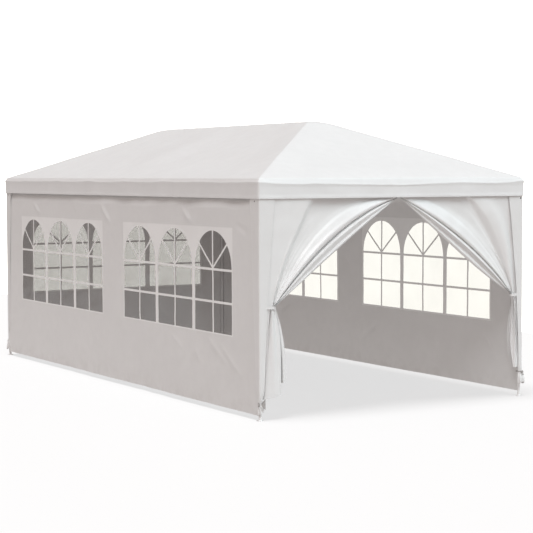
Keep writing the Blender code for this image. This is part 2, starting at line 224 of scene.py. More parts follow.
def wovenSheet(name, colour, roughness):
    made, recipe = newMaterial(name, {"IOR": 1.52})
    across, along = recipe.attribute("cloth")
    fromEdge, run = recipe.attribute("seam")
    up = recipe.part(recipe.place(), 2)

    tapes = recipe.wave(across, weave["tape"]) * recipe.wave(along, weave["tape"])
    gridAcross, gridAlong = (recipe.ramp(abs(recipe.wave(way, 2 * weave["grid"])), 0.0, 0.35, 1.0, 0.0)
                             for way in (across, along))
    grid = gridAcross.maths("MAXIMUM", gridAcross, gridAlong)
    cloudy = recipe.mottle(weave["clouds"], 3.0)
    patchy = recipe.mottle(weave["patches"], 3.0)
    fine = recipe.mottle(weave["fine"])
    onStitch = recipe.ramp(abs(fromEdge - weave["stitchPlace"]), 0.0006, 0.0016, 1.0, 0.0)
    dash = recipe.ramp(recipe.wave(run, weave["stitchPitch"]), -0.5, -0.1)
    stitch = onStitch * (0.35 + 0.65 * dash)
    hem = recipe.ramp(fromEdge, weave["stitchPlace"] + 0.003, weave["stitchPlace"] + 0.005, 1.0, 0.0)
    dust = recipe.ramp(up, 0.02, weave["dustHeight"], 1.0, 0.0) * recipe.ramp(patchy, 0.35, 0.75)

    base = recipe.clouded(cloudy, colour, 0.985, 1.01)
    base = recipe.mix(recipe.ramp(patchy, 0.35, 0.7) * 0.5, base, shade(colour, 0.965))
    base = recipe.mix(grid * 0.12, base, shade(colour, 1.04))
    base = recipe.mix(hem * 0.35, base, shade(colour, 1.03))
    base = recipe.mix(onStitch * (1 - dash) * 0.25, base, shade(colour, 0.72))
    recipe.close({
        "Base Color": recipe.mix(dust * 0.10, base, shade(weave["dust"])),
        "Roughness": roughness + 0.10 * (patchy - 0.5) + 0.05 * tapes + 0.12 * dust,
        "Normal": recipe.bump(tapes * weave["tapeHeight"] + grid * weave["gridHeight"]
                              + patchy * weave["crumple"] + fine * weave["fineCrumple"]
                              - stitch * weave["stitchDepth"] + hem * weave["hemHeight"])})
    return made


def printedSheet(name, colour):
    # white ink and film, welded round the panes
    made, recipe = newMaterial(name, {"IOR": 1.46})
    cloudy = recipe.mottle(4.0, 3.0)
    pores = recipe.mottle(240.0)
    base = recipe.clouded(cloudy, colour, 0.98, 1.01)
    recipe.close({
        "Base Color": recipe.mix(recipe.ramp(pores, 0.6, 0.8) * 0.2, base, shade(colour, 0.93)),
        "Roughness": 0.36 + 0.12 * (cloudy - 0.5),
        "Normal": recipe.bump(pores * 0.00003 + cloudy * 0.0008)})
    return made


def clearFilm(name, colour, cover):
    # cover is the share of light that each face holds back
    made, recipe = newMaterial(name, {"IOR": 1.5})
    cloudy = recipe.mottle(3.0, 3.0)
    recipe.close({
        "Base Color": recipe.clouded(cloudy, colour, 0.9, 1.15),
        "Alpha": cover + 0.05 * (cloudy - 0.5),
        "Roughness": 0.07 + 0.06 * cloudy,
        "Normal": recipe.bump(recipe.mottle(7.0, 1.0) * 0.0015)})
    return made


def coatedSteel(name, colour):
    # powder coat: slight orange peel, a little dirt low down
    made, recipe = newMaterial(name, {"IOR": 1.5, "Coat Roughness": 0.12})
    cloudy = recipe.mottle(9.0, 3.0)
    low = recipe.ramp(recipe.part(recipe.place(), 2), 0.0, 0.07, 1.0, 0.0)
    dirt = low * recipe.ramp(recipe.mottle(60.0, 4.0), 0.45, 0.7)
    recipe.close({
        "Base Color": recipe.mix(dirt * 0.35, recipe.clouded(cloudy, colour, 0.97, 1.01),
                                 shade((0.36, 0.32, 0.27))),
        "Roughness": 0.30 + 0.10 * (cloudy - 0.5) + 0.25 * dirt,
        "Coat Weight": 0.25 - 0.2 * dirt,
        "Normal": recipe.bump(recipe.mottle(420.0) * 0.00004)})
    return made


def softTape(name, colour):
    made, recipe = newMaterial(name, {"IOR": 1.46})
    fine = recipe.mottle(90.0)
    recipe.close({
        "Base Color": recipe.mix(fine * 0.15, shade(colour, 0.9658), shade(colour, 0.9)),
        "Roughness": 0.62 + 0.1 * (fine - 0.5)})
    return made


# a dark plug with a fine grain, used only in the eyelets: painted shade where the holes are dark
def holeShadeMaterial(name, colour):
    made, recipe = newMaterial(name, {"IOR": 1.49})
    grain = recipe.mottle(700.0)
    recipe.close({
        "Base Color": recipe.clouded(recipe.mottle(30.0), colour, 0.95, 1.02),
        "Roughness": 0.38 + 0.12 * (grain - 0.5),
        "Normal": recipe.bump(grain * 0.00003)})
    return made


def dullMetal(name, bright, dull):
    made, recipe = newMaterial(name, {"Metallic": 1.0})
    tarnish = recipe.mottle(80.0, 3.0)
    recipe.close({
        "Base Color": recipe.mix(tarnish, shade(bright), shade(dull)),
        "Roughness": 0.25 + 0.3 * tarnish,
        "Normal": recipe.bump(tarnish * 0.0001)})
    return made


coverSheet = wovenSheet("coverSheet", (0.82, 0.82, 0.82), 0.46)
wallSheet = wovenSheet("wallSheet", (0.80, 0.795, 0.79), 0.46)
flapSheet = wovenSheet("flapSheet", (0.81, 0.807, 0.803), 0.42)
curtainSheet = wovenSheet("curtainSheet", (0.84, 0.84, 0.838), 0.34)
windowPrint = printedSheet("windowPrint", (0.93, 0.93, 0.925))
windowFilm = clearFilm("windowFilm", (0.06, 0.038, 0.032), 0.33)
whiteSteel = coatedSteel("whiteSteel", (0.92, 0.92, 0.92))
tieTape = softTape("tieTape", (0.83, 0.825, 0.82))
# grey tape for the bows and the right foot's tie: partly a grey ribbon, partly painted shade
greyTapeAndPaintedShade = softTape("greyTapeAndPaintedShade", (0.44, 0.42, 0.41))
# black discs in the eyelets: painted shade for the dark holes
paintedHoleShade = holeShadeMaterial("paintedHoleShade", (0.10, 0.10, 0.10))
eyeletMetal = dullMetal("eyeletMetal", (0.60, 0.59, 0.56), (0.44, 0.42, 0.39))
print("materials made")


def smooth(low, high, value):
    share = np.clip((np.asarray(value, float) - low) / (high - low), 0, 1)
    return share * share * (3 - 2 * share)


def ripple(u, v, length, seed, waves=9):
    # a soft uneven field of waves about this long, mostly between -1 and 1
    picked = np.random.default_rng(seed)
    turns, phases = picked.uniform(0, math.tau, (2, waves))
    lengths = length * picked.uniform(0.75, 1.4, waves)
    total = sum(np.sin((u * math.cos(turn) + v * math.sin(turn)) * math.tau / size + phase)
                for turn, phase, size in zip(turns, phases, lengths))
    return total / math.sqrt(waves)


def creases(u, v, lines):
    # ridges along straight lines (u, v, u, v, half width, height) that fade at both ends
    total = np.zeros_like(u, dtype=float)
    for startU, startV, endU, endV, halfWidth, height in lines:
        length = math.hypot(endU - startU, endV - startV)
        alongU, alongV = (endU - startU) / length, (endV - startV) / length
        along = (u - startU) * alongU + (v - startV) * alongV
        off = (u - startU) * alongV - (v - startV) * alongU
        total += (height * np.exp(-(off / halfWidth) ** 2)
                  * smooth(-0.2 * length, 0.3 * length, along) * smooth(1.2 * length, 0.7 * length, along))
    return total


def breakLines(stops, step):
    # places from the first stop to the last, with every stop among them
    made = [np.array([stops[0]])]
    for low, high in zip(stops, stops[1:]):
        made.append(np.linspace(low, high, max(2, math.ceil((high - low) / step) + 1))[1:])
    return np.concatenate(made)


def monotone(places, values, at):
    # a smooth curve through values that never swings past them
    places, values = np.asarray(places, float), np.asarray(values, float)
    gaps = np.diff(places)
    rises = np.diff(values, axis=0) / gaps[:, None]
    slopes = np.zeros_like(values)
    before, after = (2 * gaps[1:] + gaps[:-1])[:, None], (gaps[1:] + 2 * gaps[:-1])[:, None]
    same = rises[:-1] * rises[1:] > 0
    lower, upper = np.where(same, rises[:-1], 1.0), np.where(same, rises[1:], 1.0)
    slopes[1:-1] = np.where(same, (before + after) / (before / lower + after / upper), 0.0)
    slopes[0], slopes[-1] = rises[0], rises[-1]
    part = np.clip(np.searchsorted(places, at, side="right") - 1, 0, len(gaps) - 1)
    t = ((at - places[part]) / gaps[part])[:, None]
    gap = gaps[part][:, None]
    return (values[part] * (1 + 2 * t) * (1 - t) ** 2 + values[part + 1] * t * t * (3 - 2 * t)
            + gap * (slopes[part] * t * (1 - t) ** 2 - slopes[part + 1] * t * t * (1 - t)))


def circle(centre, first, second, steps):
    # points round an ellipse with these half axes, back to its start
    return [centre + first * math.cos(math.tau * step / steps) + second * math.sin(math.tau * step / steps)
            for step in range(steps + 1)]


def addPiece(name, mesh, material, nodes=()):
    obj = bpy.data.objects.new(name, mesh)
    mesh.materials.append(material)
    bpy.context.scene.collection.objects.link(obj)
    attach(obj, "root")
    if nodes:
        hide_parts(*nodes)
    return obj


def sheetPiece(name, mesh, bm, material, nodes, thickness):
    # a flat mesh made into a sheet whose cut edges stay crisp
    bmesh.ops.recalc_face_normals(bm, faces=bm.faces)
    for edge in bm.edges:
        edge.smooth = not edge.is_boundary
    bm.to_mesh(mesh)
    bm.free()
    mesh.shade_smooth()
    obj = addPiece(name, mesh, material, nodes)
    shell = obj.modifiers.new("thickness", "SOLIDIFY")
    shell.thickness = thickness
    shell.offset = 0
    return obj


def gridPiece(name, points, material, nodes, cloth, seam=(1, 0), wrap=False, skip=None, thickness=0.0008):
    # a sheet from rows of points; cloth is metres across and along it, seam metres from and along its edge
    rows, columns = points.shape[:2]
    index = np.arange(rows * columns).reshape(rows, columns)
    right = np.roll(index, -1, axis=1) if wrap else index[:, 1:]
    left = index if wrap else index[:, :-1]
    quads = np.stack([left[:-1], right[:-1], right[1:], left[1:]], axis=-1)
    if skip is not None:
        quads = quads[~skip]
    mesh = bpy.data.meshes.new(name)
    mesh.from_pydata(points.reshape(-1, 3).tolist(), [], quads.reshape(-1, 4).tolist())
    zeros = np.zeros((rows, columns))
    for key, (first, second) in (("cloth", cloth), ("seam", seam)):
        layer = mesh.attributes.new(key, "FLOAT_VECTOR", "POINT")
        values = np.stack([first + zeros, second + zeros, zeros], axis=-1).astype(np.float32)
        layer.data.foreach_set("vector", values.ravel())
    bm = bmesh.new()
    bm.from_mesh(mesh)
    bmesh.ops.delete(bm, geom=[vert for vert in bm.verts if not vert.link_faces], context="VERTS")
    bmesh.ops.remove_doubles(bm, verts=bm.verts, dist=1e-6)
    return sheetPiece(name, mesh, bm, material, nodes, thickness)


class Shape:
    # closed solids gathered into one mesh
    def __init__(self):
        self.points, self.faces = [], []

    def loft(self, rings, closed=False):
        # rings of points joined up; the ends are capped unless the last ring meets the first
        start, count, steps = len(self.points), len(rings), len(rings[0])
        self.points += [tuple(point) for ring in rings for point in ring]
        index = start + np.arange(count * steps).reshape(count, steps)
        for number in range(count if closed else count - 1):
            here, there = index[number], index[(number + 1) % count]
            self.faces += np.stack([here, np.roll(here, -1), np.roll(there, -1), there], axis=1).tolist()
        if not closed:
            self.faces += [index[0][::-1].tolist(), index[-1].tolist()]

    def turned(self, start, end, profile, steps=32):
        # a solid of revolution: (distance from start, radius) along the line
        start, end = Vector(start), Vector(end)
        along = (end - start).normalized()
        side = along.orthogonal().normalized()
        other = along.cross(side)
        self.loft([circle(start + along * distance, side * radius, other * radius, steps)[:-1]
                   for distance, radius in profile])

    def ring(self, centre, axis, radius, wire, steps=24, wireSteps=10):
        axis = Vector(axis).normalized()
        side = axis.orthogonal().normalized()
        self.loft([circle(Vector(centre) + out * radius, out * wire, axis * wire, wireSteps)[:-1]
                   for out in circle(Vector(), side, axis.cross(side), steps)[:-1]], closed=True)

    def ribbon(self, path, across, width, thickness):
        # a flat strap along a path, with the direction across it and one or more widths
        path, side = [Vector(point) for point in path], Vector(across).normalized()
        halves = np.broadcast_to(np.asarray(width, float) / 2, len(path))
        rings = []
        for number, point in enumerate(path):
            along = path[min(number + 1, len(path) - 1)] - path[max(number - 1, 0)]
            out = along.cross(side).normalized()
            rings.append([point + side * first * float(halves[number]) + out * second * thickness / 2
                          for first, second in ((-1, -1), (1, -1), (1, 1), (-1, 1))])
        self.loft(rings)

    def piece(self, name, material, nodes=(), sharpAngle=35):
        mesh = bpy.data.meshes.new(name)
        mesh.from_pydata(self.points, [], self.faces)
        bm = bmesh.new()
        bm.from_mesh(mesh)
        bmesh.ops.recalc_face_normals(bm, faces=bm.faces)
        bm.to_mesh(mesh)
        bm.free()
        mesh.shade_smooth()
        mesh.set_sharp_from_angle(angle=math.radians(sharpAngle))
        return addPiece(name, mesh, material, nodes)


# frame of white tubes and connectors, the same sizes as the solids
frameWork = {
    "tube": 0.0125,          # radii
    "socket": 0.0138,
    "hub": 0.0165,
    "socketLength": 0.07,
    "gap": 0.0003,
    "bead": 0.0012,          # rounding of a tube's end
    "lip": 0.0006,           # of a socket's mouth
    "foot": 0.035,
    "footThickness": 0.004,
    "footSocket": 0.055,
    "pegHoles": 0.0255,      # from the leg's axis
    "legJoint": 1.06,        # where the two halves of a leg meet
    "button": 0.0036,
}


def railPoint(sx, sy):
    return Vector((sx * tent["frameX"], sy * tent["frameY"], tent["eaveZ"]))


def ridgePoint(sy):
    return Vector((0, sy * (tent["halfLength"] - tent["halfWidth"]), tent["ridgeZ"]))


def tubeBetween(name, node, start, end):
    radius, bead = frameWork["tube"], frameWork["bead"]
    along = (end - start).normalized()
    reach = frameWork["socketLength"] + frameWork["gap"]
    length = (end - start).length - 2 * reach
    shape = Shape()
    shape.turned(start + along * reach, end - along * reach, [
        (0, radius - bead), (bead * 0.4, radius - bead * 0.3), (bead, radius), (length - bead, radius),
        (length - bead * 0.4, radius - bead * 0.3), (length, radius - bead)])
    return shape.piece(name, whiteSteel, [node])


def button(shape, place, outwards):
    # the spring button that locks a tube in its socket
    size = frameWork["button"]
    outwards = outwards.normalized()
    shape.turned(place - outwards * 0.002, place + outwards * 0.003,
                 [(0, size), (0.0026, size), (0.0038, size * 0.8), (0.0046, size * 0.4)], steps=14)


def connector(name, node, centre, directions):
    shape = Shape()
    hub, socket, length, lip = (frameWork[key] for key in ("hub", "socket", "socketLength", "lip"))
    rings = 16
    shape.turned(centre - Vector((0, 0, hub)), centre + Vector((0, 0, hub)),
                 [(hub * (1 - math.cos(math.pi * step / rings)),
                   max(1e-4, hub * math.sin(math.pi * step / rings))) for step in range(rings + 1)])
    if abs(centre.y) > 0.1:
        inwards = Vector((-centre.x, -centre.y, -0.4))
    else:
        inwards = Vector((-centre.x, 0.0, -1.0))
    for direction in directions:
        direction = Vector(direction).normalized()
        shape.turned(centre, centre + direction * length,
                     [(0, socket), (length - 0.0045, socket), (length - 0.004, socket + lip),
                      (length - 0.001, socket + lip), (length, socket - 0.0002), (length, socket - 0.0016)])
        sideways = inwards - direction * inwards.dot(direction)
        if sideways.length > 1e-3:
            sideways.normalize()
            button(shape, centre + direction * length * 0.62 + sideways * socket, sideways)
    return shape.piece(name, whiteSteel, [node])


def legPiece(name, node, x, y):
    foot, thick, cup = frameWork["foot"], frameWork["footThickness"], frameWork["footSocket"]
    socket, tube, bead = frameWork["socket"], frameWork["tube"], frameWork["bead"]
    joint, top = frameWork["legJoint"], tent["eaveZ"] - frameWork["socketLength"] - frameWork["gap"]
    shape = Shape()
    shape.turned((x, y, 0), (x, y, 1), [
        # base plate with a fillet up to its socket
        (0, foot - 0.001), (0.0008, foot), (thick - 0.001, foot), (thick, foot - 0.001),
        (thick + 0.0005, foot - 0.006), (thick + 0.0005, socket + 0.006), (thick + 0.0016, socket + 0.0036),
        (thick + 0.0040, socket + 0.0014), (thick + 0.0070, socket), (cup - bead, socket),
        (cup, socket - 0.0008), (cup + 0.0003, tube),
        # the tube, with a groove at its joint
        (joint - 0.03, tube), (joint - 0.003, tube), (joint - 0.0012, tube - 0.0009),
        (joint + 0.0012, tube - 0.0009), (joint + 0.003, tube), (top - bead, tube), (top, tube - bead)],
        steps=40)
    inwards = Vector((-x, -y, 0)).normalized()
    button(shape, Vector((x, y, joint + 0.045)) + inwards * tube, inwards)
    button(shape, Vector((x, y, 0.034)) + inwards * socket, inwards)
    for sign in (1, -1):
        hole = Vector((x, y, thick + 0.0003)) + sign * frameWork["pegHoles"] * Vector((1, 1, 0)).normalized()
        shape.ring(hole, (0, 0, 1), 0.0042, 0.0009, steps=16, wireSteps=6)
    return shape.piece(name, whiteSteel, [node])


def buildFrame():
    for side, sx in sides.items():
        middle = railPoint(sx, 0)
        connector(f"sideConnector{side.title()}", f"side_connector_{side}", middle,
                  [(0, 1, 0), (0, -1, 0), ridgePoint(0) - middle])
        tubeBetween(f"middleRafter{side.title()}", f"middle_rafter_{side}", middle, ridgePoint(0))
        for end, sy in ends.items():
            corner, tag = railPoint(sx, sy), end.title() + side.title()
            legPiece(f"leg{tag}", f"leg_{end}_{side}", corner.x, corner.y)
            connector(f"cornerConnector{tag}", f"corner_connector_{end}_{side}", corner,
                      [(0, 0, -1), (-sx, 0, 0), (0, -sy, 0), ridgePoint(sy) - corner])
            tubeBetween(f"eaveRail{tag}", f"eave_rail_{side}_{end}", corner, middle)
            tubeBetween(f"hipRafter{tag}", f"hip_rafter_{end}_{side}", corner, ridgePoint(sy))
    connector("ridgeConnectorMiddle", "ridge_connector_middle", ridgePoint(0),
              [(0, 1, 0), (0, -1, 0)] + [railPoint(sx, 0) - ridgePoint(0) for sx in sides.values()])
    for end, sy in ends.items():
        left, right = (railPoint(sx, sy) for sx in sides.values())
        connector(f"ridgeConnector{end.title()}", f"ridge_connector_{end}", ridgePoint(sy),
                  [(0, -sy, 0), left - ridgePoint(sy), right - ridgePoint(sy)])
        tubeBetween(f"ridgeTube{end.title()}", f"ridge_tube_{end}", ridgePoint(sy), ridgePoint(0))
        tubeBetween(f"eaveRail{end.title()}", f"eave_rail_{end}", left, right)


buildFrame()
print("frame of tubes built")


# roof cover and valance, one sheet drawn over the frame
cover = {
    "longSteps": 132,
    "shortSteps": 66,
    "cornerRounding": 0.016,
    "cornerSteps": 5,
    "slopeSteps": 30,
    "ridgeSteps": 10,
    "sag": 0.013,            # between rafters
    "unevenness": 0.0016,
    "crumple": 0.0009,
    "valanceFlare": 0.002,
    "valanceWave": 0.0022,
    "valanceCrumple": 0.0010,
    "hemWidth": 0.022,
    "hemRise": 0.0008,
    "valanceRows": (0.0, 0.003, 0.012, 0.021, 0.024, 0.045, 0.07, 0.095),    # up from the hem
    "foldRows": ((0.12, -0.026), (0.45, -0.015), (0.80, -0.0075), (0.98, -0.0025), (0.98, 0.0015)),
    "foldRise": (0.011, -0.002, 0.014),    # of the eave's fold along the sides, the ends and at the corners
    "foldSag": 0.012,
    "foldWave": 0.0028,
}


def coverProfile():
    # (inset, height) from the hem over the fold, round the rail and up to the rounded ridge
    slope, fold, foldOut, rounding = tent["slope"], tent["eaveFold"], tent["eaveFoldOut"], tent["eaveRound"]
    points = [(0.0, tent["valanceHem"] + rise) for rise in cover["valanceRows"]]
    points += [(-foldOut * share, fold + rise) for share, rise in cover["foldRows"]]
    railInset, railZ = tent["halfWidth"] - tent["frameX"], tent["eaveZ"]
    toRail = math.hypot(railInset + foldOut, railZ - fold)
    lean = math.atan2(railInset + foldOut, railZ - fold) - math.asin(rounding / toRail)
    overRail = [(railInset - rounding * math.cos(angle), railZ + rounding * math.sin(angle))
                for angle in np.linspace(lean, math.pi / 2 - math.atan(slope), 8)]
    touchX, touchZ = overRail[0]
    points += [(-foldOut + (touchX + foldOut) * share, fold + (touchZ - fold) * share)
               for share in (0.18, 0.45, 0.72)]
    points += overRail
    halfWidth, top = tent["halfWidth"], tent["ridgeTop"]
    ridgeRounding = 2 * (tent["eaveLine"] + slope * halfWidth - top) / slope
    start, stop = points[-1][0], halfWidth - ridgeRounding
    below = tent["eaveLine"] + slope * start - points[-1][1]
    for inset in [*np.linspace(start, 0.10, 6)[1:], *np.linspace(0.10, stop, cover["slopeSteps"])[1:]]:
        points.append((inset, tent["eaveLine"] + slope * inset - below * float(smooth(0.12, start, inset))))
    for step in reversed(range(cover["ridgeSteps"])):
        x = ridgeRounding * step / cover["ridgeSteps"]
        points.append((halfWidth - x, top - slope * x * x / (2 * ridgeRounding)))
    return np.array(points)


def coverRing(inset):
    # x, y round the tent at this inset, with the corners slightly rounded
    halfX, halfY = tent["halfWidth"] - inset, tent["halfLength"] - inset
    rounding = min(cover["cornerRounding"] * (0.5 if inset > 0.005 else 1.0), halfX)

    def onCorner(number, angle):
        sx, sy = ((-1, -1), (1, -1), (1, 1), (-1, 1))[number % 4]
        return (sx * (halfX - rounding) + rounding * math.cos(angle),
                sy * (halfY - rounding) + rounding * math.sin(angle))

    ring = []
    for number in range(4):
        start, stop = (math.pi + turn * math.pi / 2 for turn in (number, number + 1))
        ring += [onCorner(number, angle) for angle in np.linspace(start, stop, cover["cornerSteps"])]
        steps = cover["longSteps"] if number % 2 else cover["shortSteps"]
        ring += [*np.linspace(ring[-1], onCorner(number + 1, stop), steps, endpoint=False)[1:]]
    return ring


def buildCover():
    profile = coverProfile()
    points = np.array([[(*place, height) for place in coverRing(inset)] for inset, height in profile])
    x, y, z = points[..., 0], points[..., 1], points[..., 2]
    inset = profile[:, :1] + 0 * x
    along = 0 * x
    along[:, 1:] = np.cumsum(np.linalg.norm(np.diff(points[0], axis=0), axis=1))
    run = 0 * x
    run[1:] = np.cumsum(np.linalg.norm(np.diff(points.mean(1), axis=0), axis=1)
                        + np.linalg.norm(np.diff(profile, axis=0), axis=1))[:, None]

    # slopes hang a little between the tubes
    onLong = np.abs(x) >= tent["halfWidth"] - inset - 1e-6
    toCorner = np.where(onLong, tent["halfLength"] - np.abs(y), tent["halfWidth"] - np.abs(x))
    toRafter = np.where(onLong, np.abs(y), 10.0)
    toRidge = tent["halfWidth"] - inset
    hang = (smooth(0.03, 0.50, inset) * smooth(0.0, 0.55, toCorner - inset) * smooth(0.02, 0.6, toRafter)
            * smooth(0.05, 0.45, toRidge))
    soft = smooth(0.04, 0.2, inset) * smooth(0.02, 0.25, toRidge)
    lift = (-cover["sag"] * hang * np.where(onLong, 1.0, 0.8)
            + cover["unevenness"] * soft * ripple(x, y, 0.85, 11)
            + cover["crumple"] * smooth(0.04, 0.12, inset) * ripple(x, y, 0.28, 12))
    # the fold runs unevenly, lowest in the middle of the ends
    across = np.where(onLong, 10.0, np.abs(x + 0.05))
    shift = (np.where(onLong, cover["foldRise"][0], cover["foldRise"][1])
             - cover["foldSag"] * smooth(0.75, 0.1, across)
             + cover["foldWave"] * (ripple(x, y, 0.62, 15, 5) + 0.5 * ripple(x, y, 0.21, 16, 5)))
    shift += (cover["foldRise"][2] - shift) * smooth(0.22, 0.02, toCorner)
    lift += shift * smooth(2.055, 2.084, z) * smooth(2.126, 2.092, z) * (inset < 0.02)
    points[..., 2] += lift

    # the valance hangs free below the eave
    fall = smooth(tent["eaveLine"] - 0.03, tent["valanceHem"], z)
    free = smooth(0.0, 0.25, tent["halfWidth"] - np.abs(x) + tent["halfLength"] - np.abs(y))
    out = fall * (cover["valanceFlare"] + cover["valanceWave"] * free * ripple(along, z * 0.3, 0.42, 13)
                  + cover["valanceCrumple"] * free * ripple(along, z, 0.14, 14))
    hemTop = tent["valanceHem"] + cover["hemWidth"]
    out += cover["hemRise"] * smooth(hemTop + 0.001, hemTop - 0.001, z)
    side = np.abs(np.abs(x) - tent["halfWidth"]) < np.abs(np.abs(y) - tent["halfLength"])
    points[..., 0] += np.where(side, np.sign(x) * out, 0)
    points[..., 1] += np.where(side, 0, np.sign(y) * out)
    made = gridPiece("roofCover", points, coverSheet, ["roof_cover"],
                     cloth=(along, run), seam=(run, along), wrap=True)


buildCover()
print("roof cover built")


# long walls, hung from the rails behind the valance
wall = {
    "step": 0.021,
    "foldBand": (1.84, 1.94),    # here the grid is finer
    "fineStep": 0.0065,
    "windowMiddle": 1.384,   # from the tent's middle along the wall
    "underFlap": 0.02,
    "topEdge": 1.870,        # above this it leans in behind the valance
    "topLean": 0.29,
    "topBend": 0.0035,
    "edgeWave": 0.009,
    "topWave": 0.0055,
    "billow": 0.0035,
    "crumple": 0.0012,
    "lowWave": 0.0022,
    "creaseGain": 2.4,
    "creases": [             # (along, up, along, up, half width, height)
        (2.12, 1.84, 1.97, 1.73, 0.026, 0.0044),
        (0.96, 1.84, 0.95, 1.77, 0.028, 0.0030),
        (0.26, 1.84, 0.07, 1.68, 0.028, 0.0052),
        (-1.55, 1.84, -1.73, 1.72, 0.027, 0.0050),
        (-2.58, 1.72, -2.78, 1.66, 0.026, -0.0034),
        (-1.30, 0.62, -1.55, 0.51, 0.030, 0.0024),
        (1.64, 0.40, 1.63, 0.22, 0.030, 0.0022),
        (-2.05, 0.66, -2.38, 0.46, 0.028, 0.0026),
        (-2.30, 0.60, -2.68, 0.36, 0.030, 0.0026),
        (-1.78, 0.55, -1.92, 0.40, 0.030, 0.0020),
        (0.55, 0.52, 0.20, 0.30, 0.034, 0.0020),
        (2.40, 0.55, 2.62, 0.30, 0.030, 0.0020),
        (-2.62, 1.30, -2.74, 1.02, 0.020, 0.0018),
        (-0.10, 1.25, 0.06, 1.00, 0.024, 0.0016),
    ],
}


def flapWidth(z):
    share = (tent["flapTop"] - z) / (tent["flapTop"] - tent["flapHem"])
    return tent["flapTopWidth"] + (tent["flapHemWidth"] - tent["flapTopWidth"]) * share


def fromWindows(along, z, window, middles):
    # metres outside the nearest opening
    aside = np.min([np.abs(along - middle) for middle in middles], axis=0) - window["reach"]
    return np.maximum(aside, np.maximum(window["low"] - z, z - window["high"]))


def wallShape(along, z, seed, lines, half, window, middles):
    # how far a wall stands out from its plane; creases stop short of the windows
    crisp = wall["creaseGain"] * smooth(0.022, 0.06, fromWindows(along, z, window, middles))
    free = smooth(2.10, 2.0, z)
    edge = wall["topEdge"] + wall["edgeWave"] * ripple(along, 0 * z, 0.55, seed + 5, 5)
    bend = wall["topBend"]
    beyond = bend * np.log1p(np.exp(np.clip((z - edge) / bend, -40, 40)))
    out = (-wall["topLean"] * beyond * smooth(2.07, 1.98, z)
           + wall["topWave"] * smooth(1.70, 1.9, z) * free * ripple(along, 0 * z, 0.75, seed + 1, 5)
           + wall["billow"] * free * ripple(along, z, 1.7, seed + 2)
           + wall["crumple"] * free * ripple(along, z, 0.23, seed + 3)
           + wall["lowWave"] * smooth(0.75, 0.1, z) * ripple(along, z * 0.45, 0.34, seed + 4)
           + crisp * creases(along, z, lines) * free)
    return out * smooth(half - 0.03, half - 0.25, np.abs(along)) - 0.0015


# windows of three arched lights, each in a printed panel that is sewn into an opening
sideWindow = {
    "radius": 0.353,         # half a light's width
    "sill": 0.716,
    "spring": 1.304,
    "pitch": 0.764,
    "lowCross": 1.000,       # heights of the bars
    "highCross": 1.300,
    "fanStart": 1.312,
    "low": 0.705,            # the opening
    "high": 1.692,
    "reach": 1.135,
}
backWindow = {
    "radius": 0.365,
    "sill": 0.757,
    "spring": 1.337,
    "pitch": 0.792,
    "lowCross": 1.033,
    "highCross": 1.333,
    "fanStart": 1.345,
    "low": 0.746,
    "high": 1.737,
    "reach": 1.175,
}


def clipped(points, onLine, towards):
    # the part of a convex outline on one side of a line
    kept = []
    for here, there in zip(points, points[1:] + points[:1]):
        first = (here[0] - onLine[0]) * towards[0] + (here[1] - onLine[1]) * towards[1]
        second = (there[0] - onLine[0]) * towards[0] + (there[1] - onLine[1]) * towards[1]
        if first >= 0:
            kept.append(here)
        if (first < 0) != (second < 0):
            share = first / (first - second)
            kept.append((here[0] + (there[0] - here[0]) * share, here[1] + (there[1] - here[1]) * share))
    return kept


# bars printed across each arched light
bars = {
    "middle": 0.011,         # half widths
    "cross": 0.011,
    "fan": 0.010,
    "fanRun": (0.27, 0.225),
}


def panes(middle, window):
    # the light's outline, cut into panes by its bars
    radius, sill, spring = window["radius"], window["sill"], window["spring"]
    outline = [(middle - radius, sill), (middle + radius, sill)]
    outline += [(middle + radius * math.cos(angle), spring + radius * math.sin(angle))
                for angle in np.linspace(0, math.pi, 29)]
    run = [part / math.hypot(*bars["fanRun"]) for part in bars["fanRun"]]
    found = []
    for s in (-1, 1):
        half = clipped(outline, (middle + s * bars["middle"], 0), (s, 0))
        between = clipped(half, (0, window["lowCross"] + bars["cross"]), (0, 1))
        head = clipped(half, (0, window["highCross"] + bars["cross"]), (0, 1))
        found.append(clipped(half, (0, window["lowCross"] - bars["cross"]), (0, -1)))
        found.append(clipped(between, (0, window["highCross"] - bars["cross"]), (0, -1)))
        for across in ((-s * run[1], run[0]), (s * run[1], -run[0])):
            edge = (middle + across[0] * bars["fan"], window["fanStart"] + across[1] * bars["fan"])
            found.append(clipped(head, edge, across))
    return found


def filledShape(outline, holes, step):
    # a flat sheet with holes, cut along a grid so that it can follow a curved wall
    curve = bpy.data.curves.new("outline", "CURVE")
    curve.dimensions = "2D"
    curve.fill_mode = "BOTH"
    for loop in [outline, *holes]:
        spline = curve.splines.new("POLY")
        spline.points.add(len(loop) - 1)
        for point, (x, y) in zip(spline.points, loop):
            point.co = (x, y, 0, 1)
        spline.use_cyclic_u = True
    obj = bpy.data.objects.new("outline", curve)
    mesh = bpy.data.meshes.new_from_object(obj)
    bpy.data.objects.remove(obj)
    bpy.data.curves.remove(curve)
    bm = bmesh.new()
    bm.from_mesh(mesh)
    bpy.data.meshes.remove(mesh)
    bmesh.ops.remove_doubles(bm, verts=bm.verts, dist=1e-5)
    for axis in (0, 1):
        span = [point[axis] for point in outline]
        for cut in np.arange(min(span) + step, max(span), step):
            place, normal = [0, 0, 0], [0, 0, 0]
            place[axis], normal[axis] = cut, 1
            bmesh.ops.bisect_plane(bm, geom=bm.verts[:] + bm.edges[:] + bm.faces[:],
                                   plane_co=place, plane_no=normal)
    # no slivers
    bmesh.ops.remove_doubles(bm, verts=bm.verts, dist=8e-4)
    bmesh.ops.dissolve_degenerate(bm, edges=bm.edges, dist=2e-4)
    return bm


